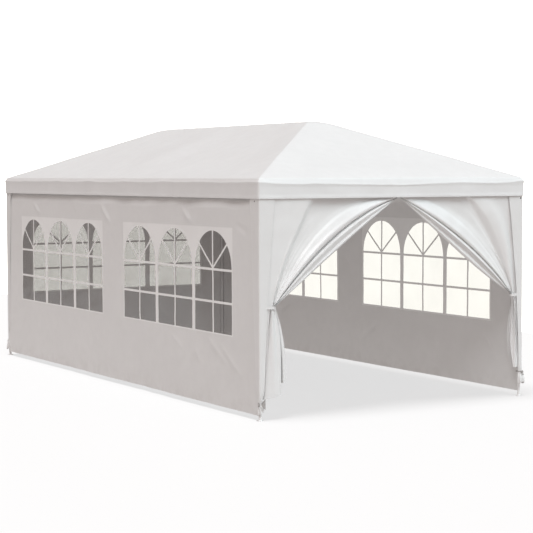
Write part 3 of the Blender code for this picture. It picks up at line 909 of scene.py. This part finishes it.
def wallPiece(name, node, half, straight, window, middles, toWorld):
    # a wall cut out for its windows, its slanted ends behind the corner flaps
    low, high, reach = window["low"], window["high"], window["reach"]
    step, hem, (fineLow, fineHigh) = wall["step"], tent["wallHem"], wall["foldBand"]
    windowEnds = [middle + s * reach for middle in middles for s in (-1, 1)]
    alongLines = breakLines([-straight, *windowEnds, straight], step)
    zLines = np.concatenate([breakLines([hem, hem + 0.018, hem + 0.022, low, high, fineLow], step),
                             breakLines([fineLow, fineHigh], wall["fineStep"])[1:],
                             breakLines([fineHigh, tent["wallTop"]], step)[1:]])
    end = (half - flapWidth(zLines) + wall["underFlap"])[:, None]
    wing = straight + (end - straight) * np.linspace(0, 1, 12)[1:]
    middlePart = np.broadcast_to(alongLines, (len(zLines), len(alongLines)))
    along = np.concatenate([-wing[:, ::-1], middlePart, wing], axis=1)
    z = np.broadcast_to(zLines[:, None], along.shape)
    inHole = fromWindows((along[:-1, :-1] + along[1:, 1:]) / 2, (z[:-1, :-1] + z[1:, 1:]) / 2,
                         window, middles) < 0
    toHole, toHem = np.abs(fromWindows(along, z, window, middles)), z - hem
    # the same stitch goes round the window panels, closer to the edge
    return gridPiece(name, toWorld(along, z), wallSheet, [node], cloth=(along, z), skip=inHole,
                     seam=(np.minimum(toHem, toHole + 0.009), np.where(toHem < toHole, along, along + z)))


# a window's printed panel and its film
panel = {
    "border": 0.006,         # laps the wall round the opening
    "filmLap": 0.004,
    "behind": 0.0012,        # the middle of the wall's sheet
    "thickness": 0.0012,
    "filmThickness": 0.0004,
    "grid": 0.06,
}


def windowPanel(tag, node, window, middle, toWorld):
    # the printed panel laps the wall's cut edge, and the film lies in its thickness
    start, stop = middle - window["reach"], middle + window["reach"]
    low, high = window["low"], window["high"]
    border, lap, behind = panel["border"], panel["filmLap"], panel["behind"]
    outline = [(start - border, low - border), (stop + border, low - border),
               (stop + border, high + border), (start - border, high + border)]
    holes = [pane for number in (-1, 0, 1) for pane in panes(middle + window["pitch"] * number, window)]
    bm = filledShape(outline, holes, panel["grid"])
    flat = np.array([vert.co[:2] for vert in bm.verts])
    for vert, place in zip(bm.verts, toWorld(flat[:, 0], flat[:, 1], behind)):
        vert.co = place
    name = f"windowPrint{tag}"
    printed = sheetPiece(name, bpy.data.meshes.new(name), bm, windowPrint, (), panel["thickness"])
    u, v = np.meshgrid(np.linspace(start - lap, stop + lap, 80), np.linspace(low - lap, high + lap, 36))
    film = gridPiece(f"windowFilm{tag}", toWorld(u, v, behind), windowFilm, [node], cloth=(u, v),
                     thickness=panel["filmThickness"])
    stop - start + 0.030


def buildLongWall(side, sx):
    seed = {"left": 20, "right": 40}[side]
    middle = wall["windowMiddle"]
    middles = (-middle, middle)
    # the right wall mirrors the left one's creases
    lines = [(-sx * start, startUp, -sx * stop, stopUp, width, height)
             for start, startUp, stop, stopUp, width, height in wall["creases"]]

    def toWorld(u, v, behind=0.0):
        out = wallShape(u, v, seed, lines, tent["halfLength"], sideWindow, middles)
        return np.stack([sx * (tent["wallX"] + out - behind), u, v], axis=-1)

    made = wallPiece(f"wall{side.title()}", f"wall_{side}", tent["halfLength"], 2.6, sideWindow, middles,
                     toWorld)
    for end, sy in ends.items():
        windowPanel(end.title() + side.title(), f"window_film_{end}_{side}", sideWindow, sy * middle,
                    toWorld)


for side, sx in sides.items():
    buildLongWall(side, sx)
print("long walls and windows built")


# corner flaps that wrap each leg, tied at the foot
flap = {
    "plane": 0.0072,         # behind the valance's outer face
    "cornerRounding": 0.011,
    "top": 2.12,
    "rows": 84,
    "footRows": 30,
    "faceSteps": 9,
    "fold": 0.0016,          # depths of its upright folds
    "wave": 0.0011,
    "gather": 0.0034,        # small pleats near the top of the side face
    # the front faces of the front flaps taper sooner than the others
    "widthHeights": (0.09, 0.4, 0.7, 1.0, 1.5, 1.95, 2.125),
    "frontWidths": {"left": (0.050, 0.066, 0.080, 0.092, 0.130, 0.170, 0.180),
                    "right": (0.048, 0.052, 0.063, 0.078, 0.126, 0.182, 0.192)},
    # the foot: height of the tie and of the hem, radius there, and depth of the hem's folds
    "foot": {"left": (0.142, 0.066, 0.0175, 0.029, 0.007), "right": (0.240, 0.128, 0.0260, 0.050, 0.008),
             "back": (0.190, 0.078, 0.0175, 0.034, 0.009)},
    # reach, height and drop of the bow's two loops
    "bows": {"left": ((0.022, 0.038, -0.006), (0.038, 0.090, -0.006)),
             "right": ((0.014, 0.014, 0.0), (0.014, 0.014, 0.0)), "back": ()},
    "ribbon": 0.012,         # width
    "eyelets": (2.921, 1.463, 1.935),    # along the side, across the end, up
}


def flapSection(z, end, side):
    # points from the side face round the corner, as distances in from the tent's sides and ends
    width, plane, rounding = flapWidth(z), flap["plane"], flap["cornerRounding"]
    endWidth = np.interp(z, flap["widthHeights"], flap["frontWidths"][side]) if end == "front" else width
    steps = flap["faceSteps"]
    points = [(plane, width + (plane + rounding - width) * step / steps) for step in range(steps)]
    points += [(plane + rounding * (1 - math.cos(angle)), plane + rounding * (1 - math.sin(angle)))
               for angle in np.linspace(0, math.pi / 2, 7)]
    points += [(plane + rounding + (endWidth - plane - rounding) * step / steps, plane)
               for step in range(1, steps + 1)]
    return np.array(points)


def flapRow(z, end, side, foot, seed):
    # the section with its folds, gathered round the leg towards the tie
    tieHeight, hem, tieRadius, hemRadius, ruffle = foot
    section = flapSection(z, end, side)
    place = np.linspace(-1, 1, len(section))
    # soft vertical folds, flatter at the corner and under the rail
    fold = smooth(0.02, 0.9, np.abs(place)) * float(smooth(2.1, 1.9, z))
    dent = fold * (flap["fold"] * ripple(place * 0.12, z * 0.25 + 0 * place, 0.11, seed)
                   + flap["wave"] * ripple(place * 0.1, z + 0 * place, 0.30, seed + 1))
    gather = flap["gather"] * float(smooth(1.72, 1.93, z)) * float(smooth(2.1, 2.0, z)) * np.sin(place * 26.0)
    dent = np.clip(dent + gather * smooth(0.35, 0.75, -place), -0.002, 0.006)
    section += np.stack([np.where(place < 0, dent, 0), np.where(place < 0, 0, dent)], axis=1)

    legInset = tent["halfWidth"] - tent["frameX"]
    offX, offY = (section - legInset).T
    angle = np.unwrap(np.arctan2(-offX, -offY))
    middle = angle[len(angle) // 2]
    spread = (angle - middle) * 1.12 + middle
    if z >= tieHeight:
        share = float(smooth(tieHeight + 0.13, tieHeight, z))
        radius = tieRadius + 0.0030 * np.cos(place * 20.0 + seed)
    else:
        share, down = 1.0, (tieHeight - z) / (tieHeight - hem)
        radius = (tieRadius + (hemRadius - tieRadius) * math.sin(1.9 * down) / math.sin(1.9)
                  + ruffle * down * np.cos(place * 12.0 + seed)
                  + 0.003 * (1 - down) * np.cos(place * 20.0 + seed))
    gathered = legInset - np.stack([np.sin(spread) * radius, np.cos(spread) * radius], axis=1)
    return section + (gathered - section) * share


def tieFlap(tag, footKey, sx, sy):
    # ribbon round the foot of the flap with its knot and two ends, and the loops of a bow
    foot = flap["foot"][footKey]
    tieHeight, tieRadius = foot[0], foot[2]
    outwards = Vector((sx * 0.35, sy, 0)).normalized()
    sideways, up = Vector((outwards.y, -outwards.x, 0)), Vector((0, 0, 1))
    centre = Vector((sx * tent["frameX"], sy * tent["frameY"], tieHeight))
    shape, bowShape = Shape(), Shape()
    radius = tieRadius + 0.0045
    shape.ribbon(circle(centre, outwards * radius, sideways * radius + up * 0.002, 40),
                 up, flap["ribbon"], 0.0012)
    knot = centre + outwards * (tieRadius + 0.008)
    shape.turned(knot - sideways * 0.007, knot + sideways * 0.007,
                 [(0, 0.002), (0.002, 0.0052), (0.006, 0.0066), (0.010, 0.0056), (0.014, 0.002)], steps=14)
    opening = (1 - np.cos(math.tau * np.arange(19) / 18)) / 2
    for s, (reachOut, loopHeight, drop) in zip((1, -1), flap["bows"][footKey]):
        bow = [knot + sideways * s * (0.004 + reachOut * share)
               + outwards * (0.002 + 0.006 * math.sin(math.tau * step / 18))
               + up * (0.004 * math.sin(math.tau * step / 18) * s - drop * share)
               for step, share in enumerate(opening)]
        bowShape.ribbon(bow, up, flap["ribbon"] + (loopHeight - flap["ribbon"]) * opening, 0.0010)
    for s in (1, -1):
        shape.ribbon([knot + sideways * s * (0.003 + 0.010 * share)
                      + outwards * (0.003 + 0.008 * math.sin(1.8 * share)) - up * 0.034 * share
                      for share in np.linspace(0, 1, 13)], sideways, 0.008, 0.0010)
    # the right foot's ribbon and every bow are grey tape, partly painted shade in the cinch and in the loops
    tied = [shape.piece(f"footRibbon{tag}", greyTapeAndPaintedShade if footKey == "right" else tieTape)]
    if bowShape.faces:
        tied.append(bowShape.piece(f"footBow{tag}", greyTapeAndPaintedShade))
    return tied


def hangFlap(tag, sx, sy):
    # eyelets that hang the flap from the rail, each with a black disc in it: painted shade for the dark hole
    alongSide, acrossEnd, up = flap["eyelets"]
    places = [((sx * (tent["halfWidth"] - flap["plane"]), sy * alongSide, up), (sx, 0, 0))]
    if tag != "FrontLeft":
        places.append(((sx * acrossEnd, sy * (tent["halfLength"] - flap["plane"]), up), (0, sy, 0)))
    rings, shadeDiscs = Shape(), Shape()
    for place, facing in places:
        place, facing = Vector(place), Vector(facing)
        rings.ring(place + facing * 0.0002, facing, 0.0085, 0.0014)
        shadeDiscs.turned(place - facing * 0.002, place + facing * 0.003,
                     [(0, 0.0076), (0.0036, 0.0074), (0.0048, 0.0052), (0.005, 0.003)], steps=18)
    return [rings.piece(f"flapEyelets{tag}", eyeletMetal), shadeDiscs.piece(f"eyeletShadeDiscs{tag}", paintedHoleShade)]


def buildFlap(end, side, sx, sy):
    tag, footKey = end.title() + side.title(), side if end == "front" else "back"
    seed = 60 + 7 * (sx + 1) + 3 * (sy + 1)
    foot = flap["foot"][footKey]
    tieHeight, hem = foot[:2]
    zLines = np.concatenate([np.linspace(flap["top"], tieHeight + 0.1, flap["rows"]),
                             np.linspace(tieHeight + 0.1, hem, flap["footRows"])[1:]])
    insets = np.array([flapRow(z, end, side, foot, seed) for z in zLines])
    place = np.linspace(-1, 1, insets.shape[1])
    z = zLines[:, None] + 0.012 * smooth(tieHeight, hem, zLines)[:, None] * np.cos(place * 4.2 + seed)
    points = np.stack([sx * (tent["halfWidth"] - insets[..., 0]),
                       sy * (tent["halfLength"] - insets[..., 1]), z], axis=-1)
    across = 0 * z
    across[:, 1:] = np.cumsum(np.linalg.norm(np.diff(insets, axis=1), axis=2), axis=1)
    fromEdge = np.minimum(np.minimum(across, across[:, -1:] - across) + 0.006, zLines[:, None] - hem + 0.004)
    made = gridPiece(f"cornerFlap{tag}", points, flapSheet, [f"corner_flap_{end}_{side}"],
                     cloth=(across, z), seam=(fromEdge, z + across))
    tieFlap(tag, footKey, sx, sy) + hangFlap(tag, sx, sy)


for side, sx in sides.items():
    for end, sy in ends.items():
        buildFlap(end, side, sx, sy)
print("corner flaps built")


# front curtains, drawn back and tied to the corner legs
curtain = {
    "depth": 2.985,          # the sheet's plane, from the tent's middle
    "railDepth": 2.9868,     # where it passes outside the rail
    "top": 2.118,
    "hang": 1.95,            # below this height the folds start
    "tieHeight": 1.012,
    "tieLow": 0.990,
    "tapeHeight": 1.001,
    "width": 1.38,           # of the cloth
    "pleats": 10.0,
    "pleatDepth": 0.0070,
    "fineFold": 0.0020,
    "crumple": 0.0012,
    "hemLine": 0.0010,
    "tailFold": 0.005,
    "wideHem": 0.14,
    "topRows": 12,
    "rows": 84,
    "tailRows": 52,
    "lean": {"left": 0.6, "right": -0.6},   # a fold leans sideways by this share of its depth
    # folds from the flap to the free edge, in thousandths: share of the columns, then in millimetres the
    # place at the top, bow of the line and its skew, place at the tie, and how far it stands forward at
    # five heights down to the tie
    "left": [
        (0, 1375, 0, 0, 1430, -3, -4, -5, -6, -8),
        (70, 1190, 15, 12, 1376, 4, 3, 1, 0, -7),
        (140, 1020, 28, 28, 1356, 5, 4, 4, 6, -4),
        (175, 955, 40, 45, 1350, 0, 5, 9, 10, -2),
        (210, 905, 30, 40, 1348, -32, -32, -25, -22, -14),
        (280, 720, 95, -20, 1346, -34, -28, -26, -20, -10),
        (360, 442, 165, -50, 1344, -26, -24, -22, -16, -7),
        (420, 260, 182, -95, 1342, -20, -14, -12, -9, -4),
        (460, 160, 180, -92, 1340, -14, 3, 6, 5, 1),
        (490, 85, 160, -72, 1338, -10, 20, 26, 22, 5),
        (520, 48, 141, -60, 1335, -8, 31, 41, 35, 8),
        (545, 22, 129, -52, 1333, -10, 24, 33, 27, 4),
        (560, 12, 124, -50, 1332, -22, 0, 4, 4, -6),
        (650, 100, 205, -100, 1338, -34, -34, -34, -26, -18),
        (740, 8, 120, -46, 1330, -32, -10, -6, -4, -14),
        (770, 6, 105, -35, 1328, -20, 12, 18, 17, 1),
        (800, 5, 84, -25, 1326, -14, 19, 27, 26, 5),
        (850, 3, 50, -20, 1323, -22, 0, 5, 8, -6),
        (910, 2, 28, -16, 1320, -18, 6, 13, 14, 1),
        (1000, 0, 14, -19, 1316, -22, -6, -3, 1, -10),
    ],
    "right": [
        (0, 1375, 0, 0, 1440, -3, -4, -5, -6, -8),
        (80, 1200, 50, -30, 1404, -4, -12, -13, -8, -12),
        (140, 980, 100, -100, 1385, -3, 12, 20, 16, -2),
        (180, 850, 90, -90, 1378, -6, 2, 3, 4, -6),
        (200, 805, 40, 20, 1375, -24, -32, -34, -22, -14),
        (280, 690, 60, 50, 1373, -30, -26, -26, -10, -10),
        (360, 500, 110, 60, 1371, -24, -24, -24, -16, -8),
        (420, 300, 130, -20, 1369, -20, -14, -12, -10, -5),
        (460, 200, 132, -30, 1367, -14, 0, 3, 3, 0),
        (490, 120, 115, -15, 1365, -10, 14, 18, 16, 3),
        (520, 80, 101, 3, 1363, -8, 22, 29, 26, 5),
        (545, 56, 91, 12, 1361, -10, 15, 20, 17, 2),
        (560, 50, 87, 15, 1360, -20, 2, 4, 4, -4),
        (650, 130, 165, -60, 1365, -34, -34, -34, -26, -18),
        (740, 45, 84, 15, 1357, -30, -2, 0, 1, -10),
        (770, 42, 74, 8, 1355, -18, 20, 26, 24, 4),
        (800, 40, 60, 0, 1354, -12, 24, 32, 31, 6),
        (850, 36, 30, 0, 1352, -22, -2, 0, 2, -10),
        (910, 32, -2, -28, 1350, -18, 8, 14, 14, -2),
        (1000, 30, -25, -43, 1348, -22, -6, -2, 0, -12),
    ],
    # the tail's hem: share, place, forward, height, and how quickly it opens below the tie; behind the
    # front layer the cloth lies to and fro in flat folds
    "leftTail": {
        "front": [
            (0.00, 1.490, -0.034, 0.190, 1.6),
            (0.06, 1.450, -0.022, 0.186, 1.4),
            (0.082, 1.436, -0.008, 0.184, 1.2),
            (0.12, 1.385, 0.008, 0.194, 2.4),
            (0.18, 1.312, 0.012, 0.206, 3.6),
            (0.225, 1.263, 0.002, 0.217, 5.0),
        ],
        "folds": 8,          # passes behind it
        "inner": 1.272,
        "outer": 1.420,
        "deepest": -0.062,
        "haste": 4.0,
        "last": [(0.955, 1.243, -0.014, 0.318, 2.2), (1.0, 1.207, -0.018, 0.318, 2.2)],
        # folds that fade below the tie: share, width, depth, and where they end
        "pleats": [(0.088, 0.009, -0.030, 0.50), (0.150, 0.035, 0.014, 0.90), (0.185, 0.014, -0.012, 1.00)],
        "bulge": 0.0,
    },
    "rightTail": {
        "front": [
            (0.00, 1.478, -0.012, 0.280, 1.2),
            (0.07, 1.450, 0.000, 0.284, 1.6),
            (0.12, 1.434, 0.004, 0.288, 2.0),
            (0.18, 1.406, 0.018, 0.290, 4.5),
            (0.225, 1.384, 0.002, 0.292, 9.0),
        ],
        "folds": 12,
        "inner": 1.385,
        "outer": 1.456,
        "deepest": -0.080,
        "haste": 9.0,
        "last": [(1.0, 1.378, -0.080, 0.305, 9.0)],
        "pleats": [(0.075, 0.010, -0.014, 1.60), (0.126, 0.012, -0.042, 1.10), (0.160, 0.014, 0.026, 1.15),
                   (0.196, 0.010, -0.026, 1.20)],
        "bulge": 0.050,
    },
}


def foldLines(folds, t):
    # x, z and the distance forward, for each fold (columns) at each step down to the tie (rows)
    lines = []
    for topX, bow, lean, tieX, *depths in folds[:, 1:]:
        chord = np.array([tieX - topX, curtain["tieHeight"] - curtain["hang"]])
        square = np.array([-chord[1], chord[0]]) / np.linalg.norm(chord)
        if square[1] < 0:
            square = -square
        bulge = 4 * bow * t * (1 - t) + 4 * lean * t * (1 - t) * (t - 0.5)
        lines.append([topX + chord[0] * t + square[0] * bulge,
                      curtain["hang"] + chord[1] * t + square[1] * bulge,
                      monotone([0, 0.25, 0.5, 0.75, 1], np.array(depths)[:, None], t)[:, 0]])
    return np.array(lines).transpose(1, 2, 0)


def tailFolds(tail):
    # the front layer's places, then the flat folds behind it, then the free edge
    rows = list(tail["front"])
    lastZ, lastHaste = tail["last"][0][3:]
    firstZ, firstForward = rows[-1][3], -0.008
    for number in range(tail["folds"]):
        start, stop = (0.24 + 0.70 * (number + part) / tail["folds"] for part in (0.06, 0.94))
        places = (tail["inner"], tail["outer"]) if number % 2 == 0 else (tail["outer"], tail["inner"])
        for share, place, part in ((start, places[0], 0.1), (stop, places[1], 0.9)):
            depth = (number + part) / tail["folds"]
            rows.append((share, place, firstForward + (tail["deepest"] - firstForward) * depth,
                         firstZ + (lastZ - firstZ) * depth ** 1.5,
                         tail["haste"] + (lastHaste - tail["haste"]) * depth))
    return np.array(rows + tail["last"])


def tieCurtain(side, sx, outer, inner):
    # tape tied round the bundle and to the leg
    shape, up = Shape(), Vector((0, 0, 1))
    half = (outer - inner) / 2 + 0.004
    middle = Vector((sx * (outer + inner) / 2, 0.011 - curtain["depth"], curtain["tapeHeight"]))
    loop = circle(middle, Vector((sx * half, 0, 0.004)), Vector((0, -0.0225, 0)), 36)
    shape.ribbon(loop, up, 0.018, 0.0014)
    shape.ribbon([point + Vector((0, -0.0004, -0.010)) for point in loop], (0, 0.15, 1), 0.012, 0.0012)
    shape.ribbon([middle + Vector((sx * (half - 0.001 + 0.028 * share), 0.004 * math.sin(3 * share) + 0.002,
                                   0.002 + 0.012 * share)) for share in np.linspace(0, 1, 15)],
                 up, 0.016, 0.0014)
    return shape.piece(f"curtainTie{side.title()}", tieTape, [f"curtain_tie_{side}"])


def buildCurtain(side, sx):
    # columns run across the cloth and rows run down it: t to the tie, w from there to the hem
    folds = np.array(curtain[side]) / 1000
    shares, tail, seed = folds[:, 0], curtain[side + "Tail"], {"left": 80, "right": 90}[side]
    at = np.concatenate([np.linspace(low, high, 5 + round(90 * (high - low)), endpoint=False)
                         for low, high in zip(shares, shares[1:])] + [[1.0]])
    t = np.linspace(0, 1, curtain["rows"])[:, None]
    keys = foldLines(folds, t[:, 0])
    x, z, forward = (monotone(shares, key.T, at).T for key in keys)
    # fine folds that gather towards the tie
    phase = math.tau * (curtain["pleats"] * at + 0.22 * np.sin(math.tau * 1.3 * at + 0.4))
    pleat = curtain["pleatDepth"] * smooth(0.15, 0.24, at) * np.sin(phase)
    forward = (forward + smooth(0.90, 1.0, t) * pleat
               + curtain["fineFold"] * smooth(0.35, 0.92, t) * smooth(1.0, 0.92, t)
               * smooth(0.05, 0.3, at) * np.sin(phase * 2.3 + 1.0)
               + curtain["crumple"] * smooth(0.0, 0.2, t) * smooth(1.0, 0.85, t) * ripple(x, z, 0.22, seed))
    # fine lines of the double hem along the free edge
    forward += (curtain["hemLine"] * smooth(0.75, 0.80, at) * smooth(1.0, 0.85, t)
                * np.sin((at - 0.75) * math.tau * 26))

    # up behind the valance and over the outside of the rail
    rise = np.linspace(1, 0, curtain["topRows"])[:-1, None]
    topZ = curtain["hang"] + (curtain["top"] - curtain["hang"]) * rise + 0 * x[:1]
    blend = smooth(0.1, 0.85, rise)
    topForward = forward[:1] * (1 - blend) + (curtain["railDepth"] - curtain["depth"]) * blend

    # the tail opens again below the tie
    hem = tailFolds(tail)
    hemX, hemForward, hemZ, haste = monotone(hem[:, 0], hem[:, 1:], at).T
    w = np.linspace(0, 1, curtain["tailRows"])[1:, None]
    opened = 1 - (1 - w) ** haste
    tailX = x[-1] + (hemX - x[-1]) * opened
    tailX -= tail["bulge"] * np.sin(math.pi * w ** 1.35) * smooth(0.1, 0.3, at)
    tailZ = curtain["tieLow"] + (hemZ - curtain["tieLow"]) * w
    base = forward[-1] - pleat
    tailForward = base + (hemForward - base) * opened + pleat * (1 - 0.92 * smooth(0.0, 0.55, w))
    for share, width, size, end in tail["pleats"]:
        fade = smooth(0.0, 0.04, w) * smooth(end, 0.3 * end, w)
        tailForward += size * np.exp(-((at - share) / width) ** 2) * fade
    tailForward += (curtain["tailFold"] * smooth(0.05, 0.5, w) * smooth(0, 0.2, at)
                    * np.sin(phase * 0.55 + 0.6))

    allForward = np.concatenate([topForward, forward, tailForward])
    allX = np.concatenate([x[:1] + 0 * rise, x, tailX]) + curtain["lean"][side] * allForward
    allZ = np.concatenate([topZ, z, tailZ])
    points = np.stack([sx * allX, -(curtain["depth"] + allForward), allZ], axis=-1)
    down = 0 * allX
    down[1:] = np.cumsum(np.linalg.norm(np.diff(points, axis=0), axis=2), axis=0)
    across = at * curtain["width"] + 0 * allX
    # the bottom has a wide hem and the free edge a narrow one
    toStitch = np.abs(down[-1:] - down - curtain["wideHem"]) + weave["stitchPlace"]
    toEdge = (curtain["width"] - across) * 0.35
    made = gridPiece(f"curtain{side.title()}", points, curtainSheet, [f"front_curtain_{side}"],
                     cloth=(across, down),
                     seam=(np.minimum(toStitch, toEdge), np.where(toStitch < toEdge, across, down)))
    tie = tieCurtain(side, sx, keys[0][-1, 0], keys[0][-1, -1])


for side, sx in sides.items():
    buildCurtain(side, sx)
print("curtains built")


# back wall with its window
backWall = {
    "creases": [             # (across, up, across, up, half width, height)
        (0.55, 1.95, 0.85, 1.78, 0.022, 0.0028),
        (-0.30, 1.90, -0.12, 1.78, 0.020, 0.0024),
        (-1.22, 1.62, -1.30, 1.38, 0.022, 0.0024),
        (0.40, 0.62, 0.75, 0.28, 0.030, 0.0026),
        (-0.85, 0.66, -1.15, 0.34, 0.028, 0.0022),
        (-0.20, 0.55, -0.05, 0.30, 0.030, -0.0024),
        (1.22, 0.95, 1.30, 0.60, 0.026, 0.0022),
    ],
}


def buildBackWall():
    def toWorld(u, v, behind=0.0):
        out = wallShape(u, v, 110, backWall["creases"], tent["halfWidth"], backWindow, (0.0,))
        return np.stack([u, tent["wallY"] + out - behind, v], axis=-1)

    made = wallPiece("backWall", "back_wall", tent["halfWidth"], 1.25, backWindow, (0.0,), toWorld)
    windowPanel("BackWall", "window_film_back_wall", backWindow, 0.0, toWorld)


buildBackWall()
print("back wall built")


# loops of tape that hang the walls from the rails
hangers = {
    "alongSides": (-2.55, -2.04, -1.53, -1.02, -0.51, 0.51, 1.02, 1.53, 2.04, 2.55),
    "acrossEnds": (-1.15, -0.75, -0.35, 0.35, 0.75, 1.15),
    "below": 0.004,          # the rail's axis
    "halfDepth": 0.0142,
    "halfHeight": 0.0165,
    "tape": (0.020, 0.0010),
}


def hanger(shape, x, y, outwards, along, tail=0):
    centre = Vector((x, y, tent["eaveZ"] - hangers["below"]))
    outwards, up = Vector(outwards), Vector((0, 0, 1))
    shape.ribbon(circle(centre, outwards * hangers["halfDepth"], up * hangers["halfHeight"], 28),
                 along, *hangers["tape"])
    if tail:
        shape.ribbon([centre + outwards * 0.0120 - up * (0.008 + 0.006 * step) for step in range(tail)],
                     along, *hangers["tape"])


def buildHangers():
    for side, sx in sides.items():
        shape = Shape()
        for place in hangers["alongSides"]:
            hanger(shape, sx * tent["frameX"], place, (sx, 0, 0), (0, 1, 0), tail=6)
        shape.piece(f"wallLoops{side.title()}", tieTape)
    for end, sy in ends.items():
        shape = Shape()
        for place in hangers["acrossEnds"]:
            hanger(shape, place, sy * tent["frameY"], (0, sy, 0), (1, 0, 0))
        shape.piece(f"wallLoops{end.title()}", tieTape)


buildHangers()
print("hanging loops built")


# studio: soft surroundings, a broad lamp on either side of the doorway, a top light on the pale floor
studio = {
    "sky": (0.446, 0.386, 0.366),
    "ground": (0.565, 0.527, 0.510),
    "backdrop": (2.17, 2.14, 2.00),
    "right": (0.70, 0.93, 0.985),    # colour and strength together
    "rightFrom": (0.604, -0.507, 0.616),
    "left": (1.75, 1.81, 1.85),
    "leftFrom": (-0.25, -0.433, 0.866),
    "lampAngle": 40.0,
    "top": 3.4,
    "topFrom": (-0.15, -0.02, 1.0),
    "topAngle": 24.0,
    "floorSpan": (-16.0, -18.0, 5.5, 12.0),
    "floorColour": (0.22, 0.22, 0.22),
    "floorGlow": (0.655, 0.658275, 0.66155),
}


def addSun(name, power, colour, towards, angle, floor, lightsFloor):
    sun = bpy.data.lights.new(name, "SUN")
    sun.energy, sun.color, sun.angle = power, colour, math.radians(angle)
    lamp = bpy.data.objects.new(name, sun)
    lamp.rotation_mode = "QUATERNION"
    lamp.rotation_quaternion = Vector(towards).to_track_quat("Z", "Y")
    bpy.context.scene.collection.objects.link(lamp)
    receivers = bpy.data.collections.new(name + "Receivers")
    receivers.objects.link(floor)
    if not lightsFloor:
        receivers.collection_objects[0].light_linking.link_state = "EXCLUDE"
    lamp.light_linking.receiver_collection = receivers


def buildStudio():
    world = bpy.data.worlds.new("studio")
    bpy.context.scene.world = world
    world.use_nodes = True
    recipe = Recipe(world.node_tree, "Background")
    up = recipe.part(recipe.node("ShaderNodeTexCoord", output="Generated"), 2)
    light = recipe.mix(recipe.ramp(up, -0.12, 0.12), shade(studio["ground"]), shade(studio["sky"]))
    seen = recipe.node("ShaderNodeLightPath", output="Is Camera Ray")
    recipe.close({"Color": recipe.mix(seen, light, shade(studio["backdrop"]))})

    lowX, lowY, highX, highY = studio["floorSpan"]
    mesh = bpy.data.meshes.new("floor")
    mesh.from_pydata([(lowX, lowY, 0), (highX, lowY, 0), (highX, highY, 0), (lowX, highY, 0)],
                     [], [(0, 1, 2, 3)])
    made, recipe = newMaterial("floor", {"Roughness": 0.9, "Specular IOR Level": 0.1,
                                         "Emission Color": shade(studio["floorGlow"]),
                                         "Emission Strength": 1.0})
    recipe.close({"Base Color": recipe.mix(recipe.mottle(0.7), shade(studio["floorColour"]),
                                           shade(studio["floorColour"], 0.98))})
    mesh.materials.append(made)
    floor = bpy.data.objects.new("floor", mesh)
    floor.visible_diffuse = False
    bpy.context.scene.collection.objects.link(floor)
    for name in ("right", "left"):
        addSun(name + "Lamp", 1.0, studio[name], studio[name + "From"], studio["lampAngle"], floor, False)
    addSun("top", studio["top"], (1, 1, 1), studio["topFrom"], studio["topAngle"], floor, True)


buildStudio()
print("studio lit")
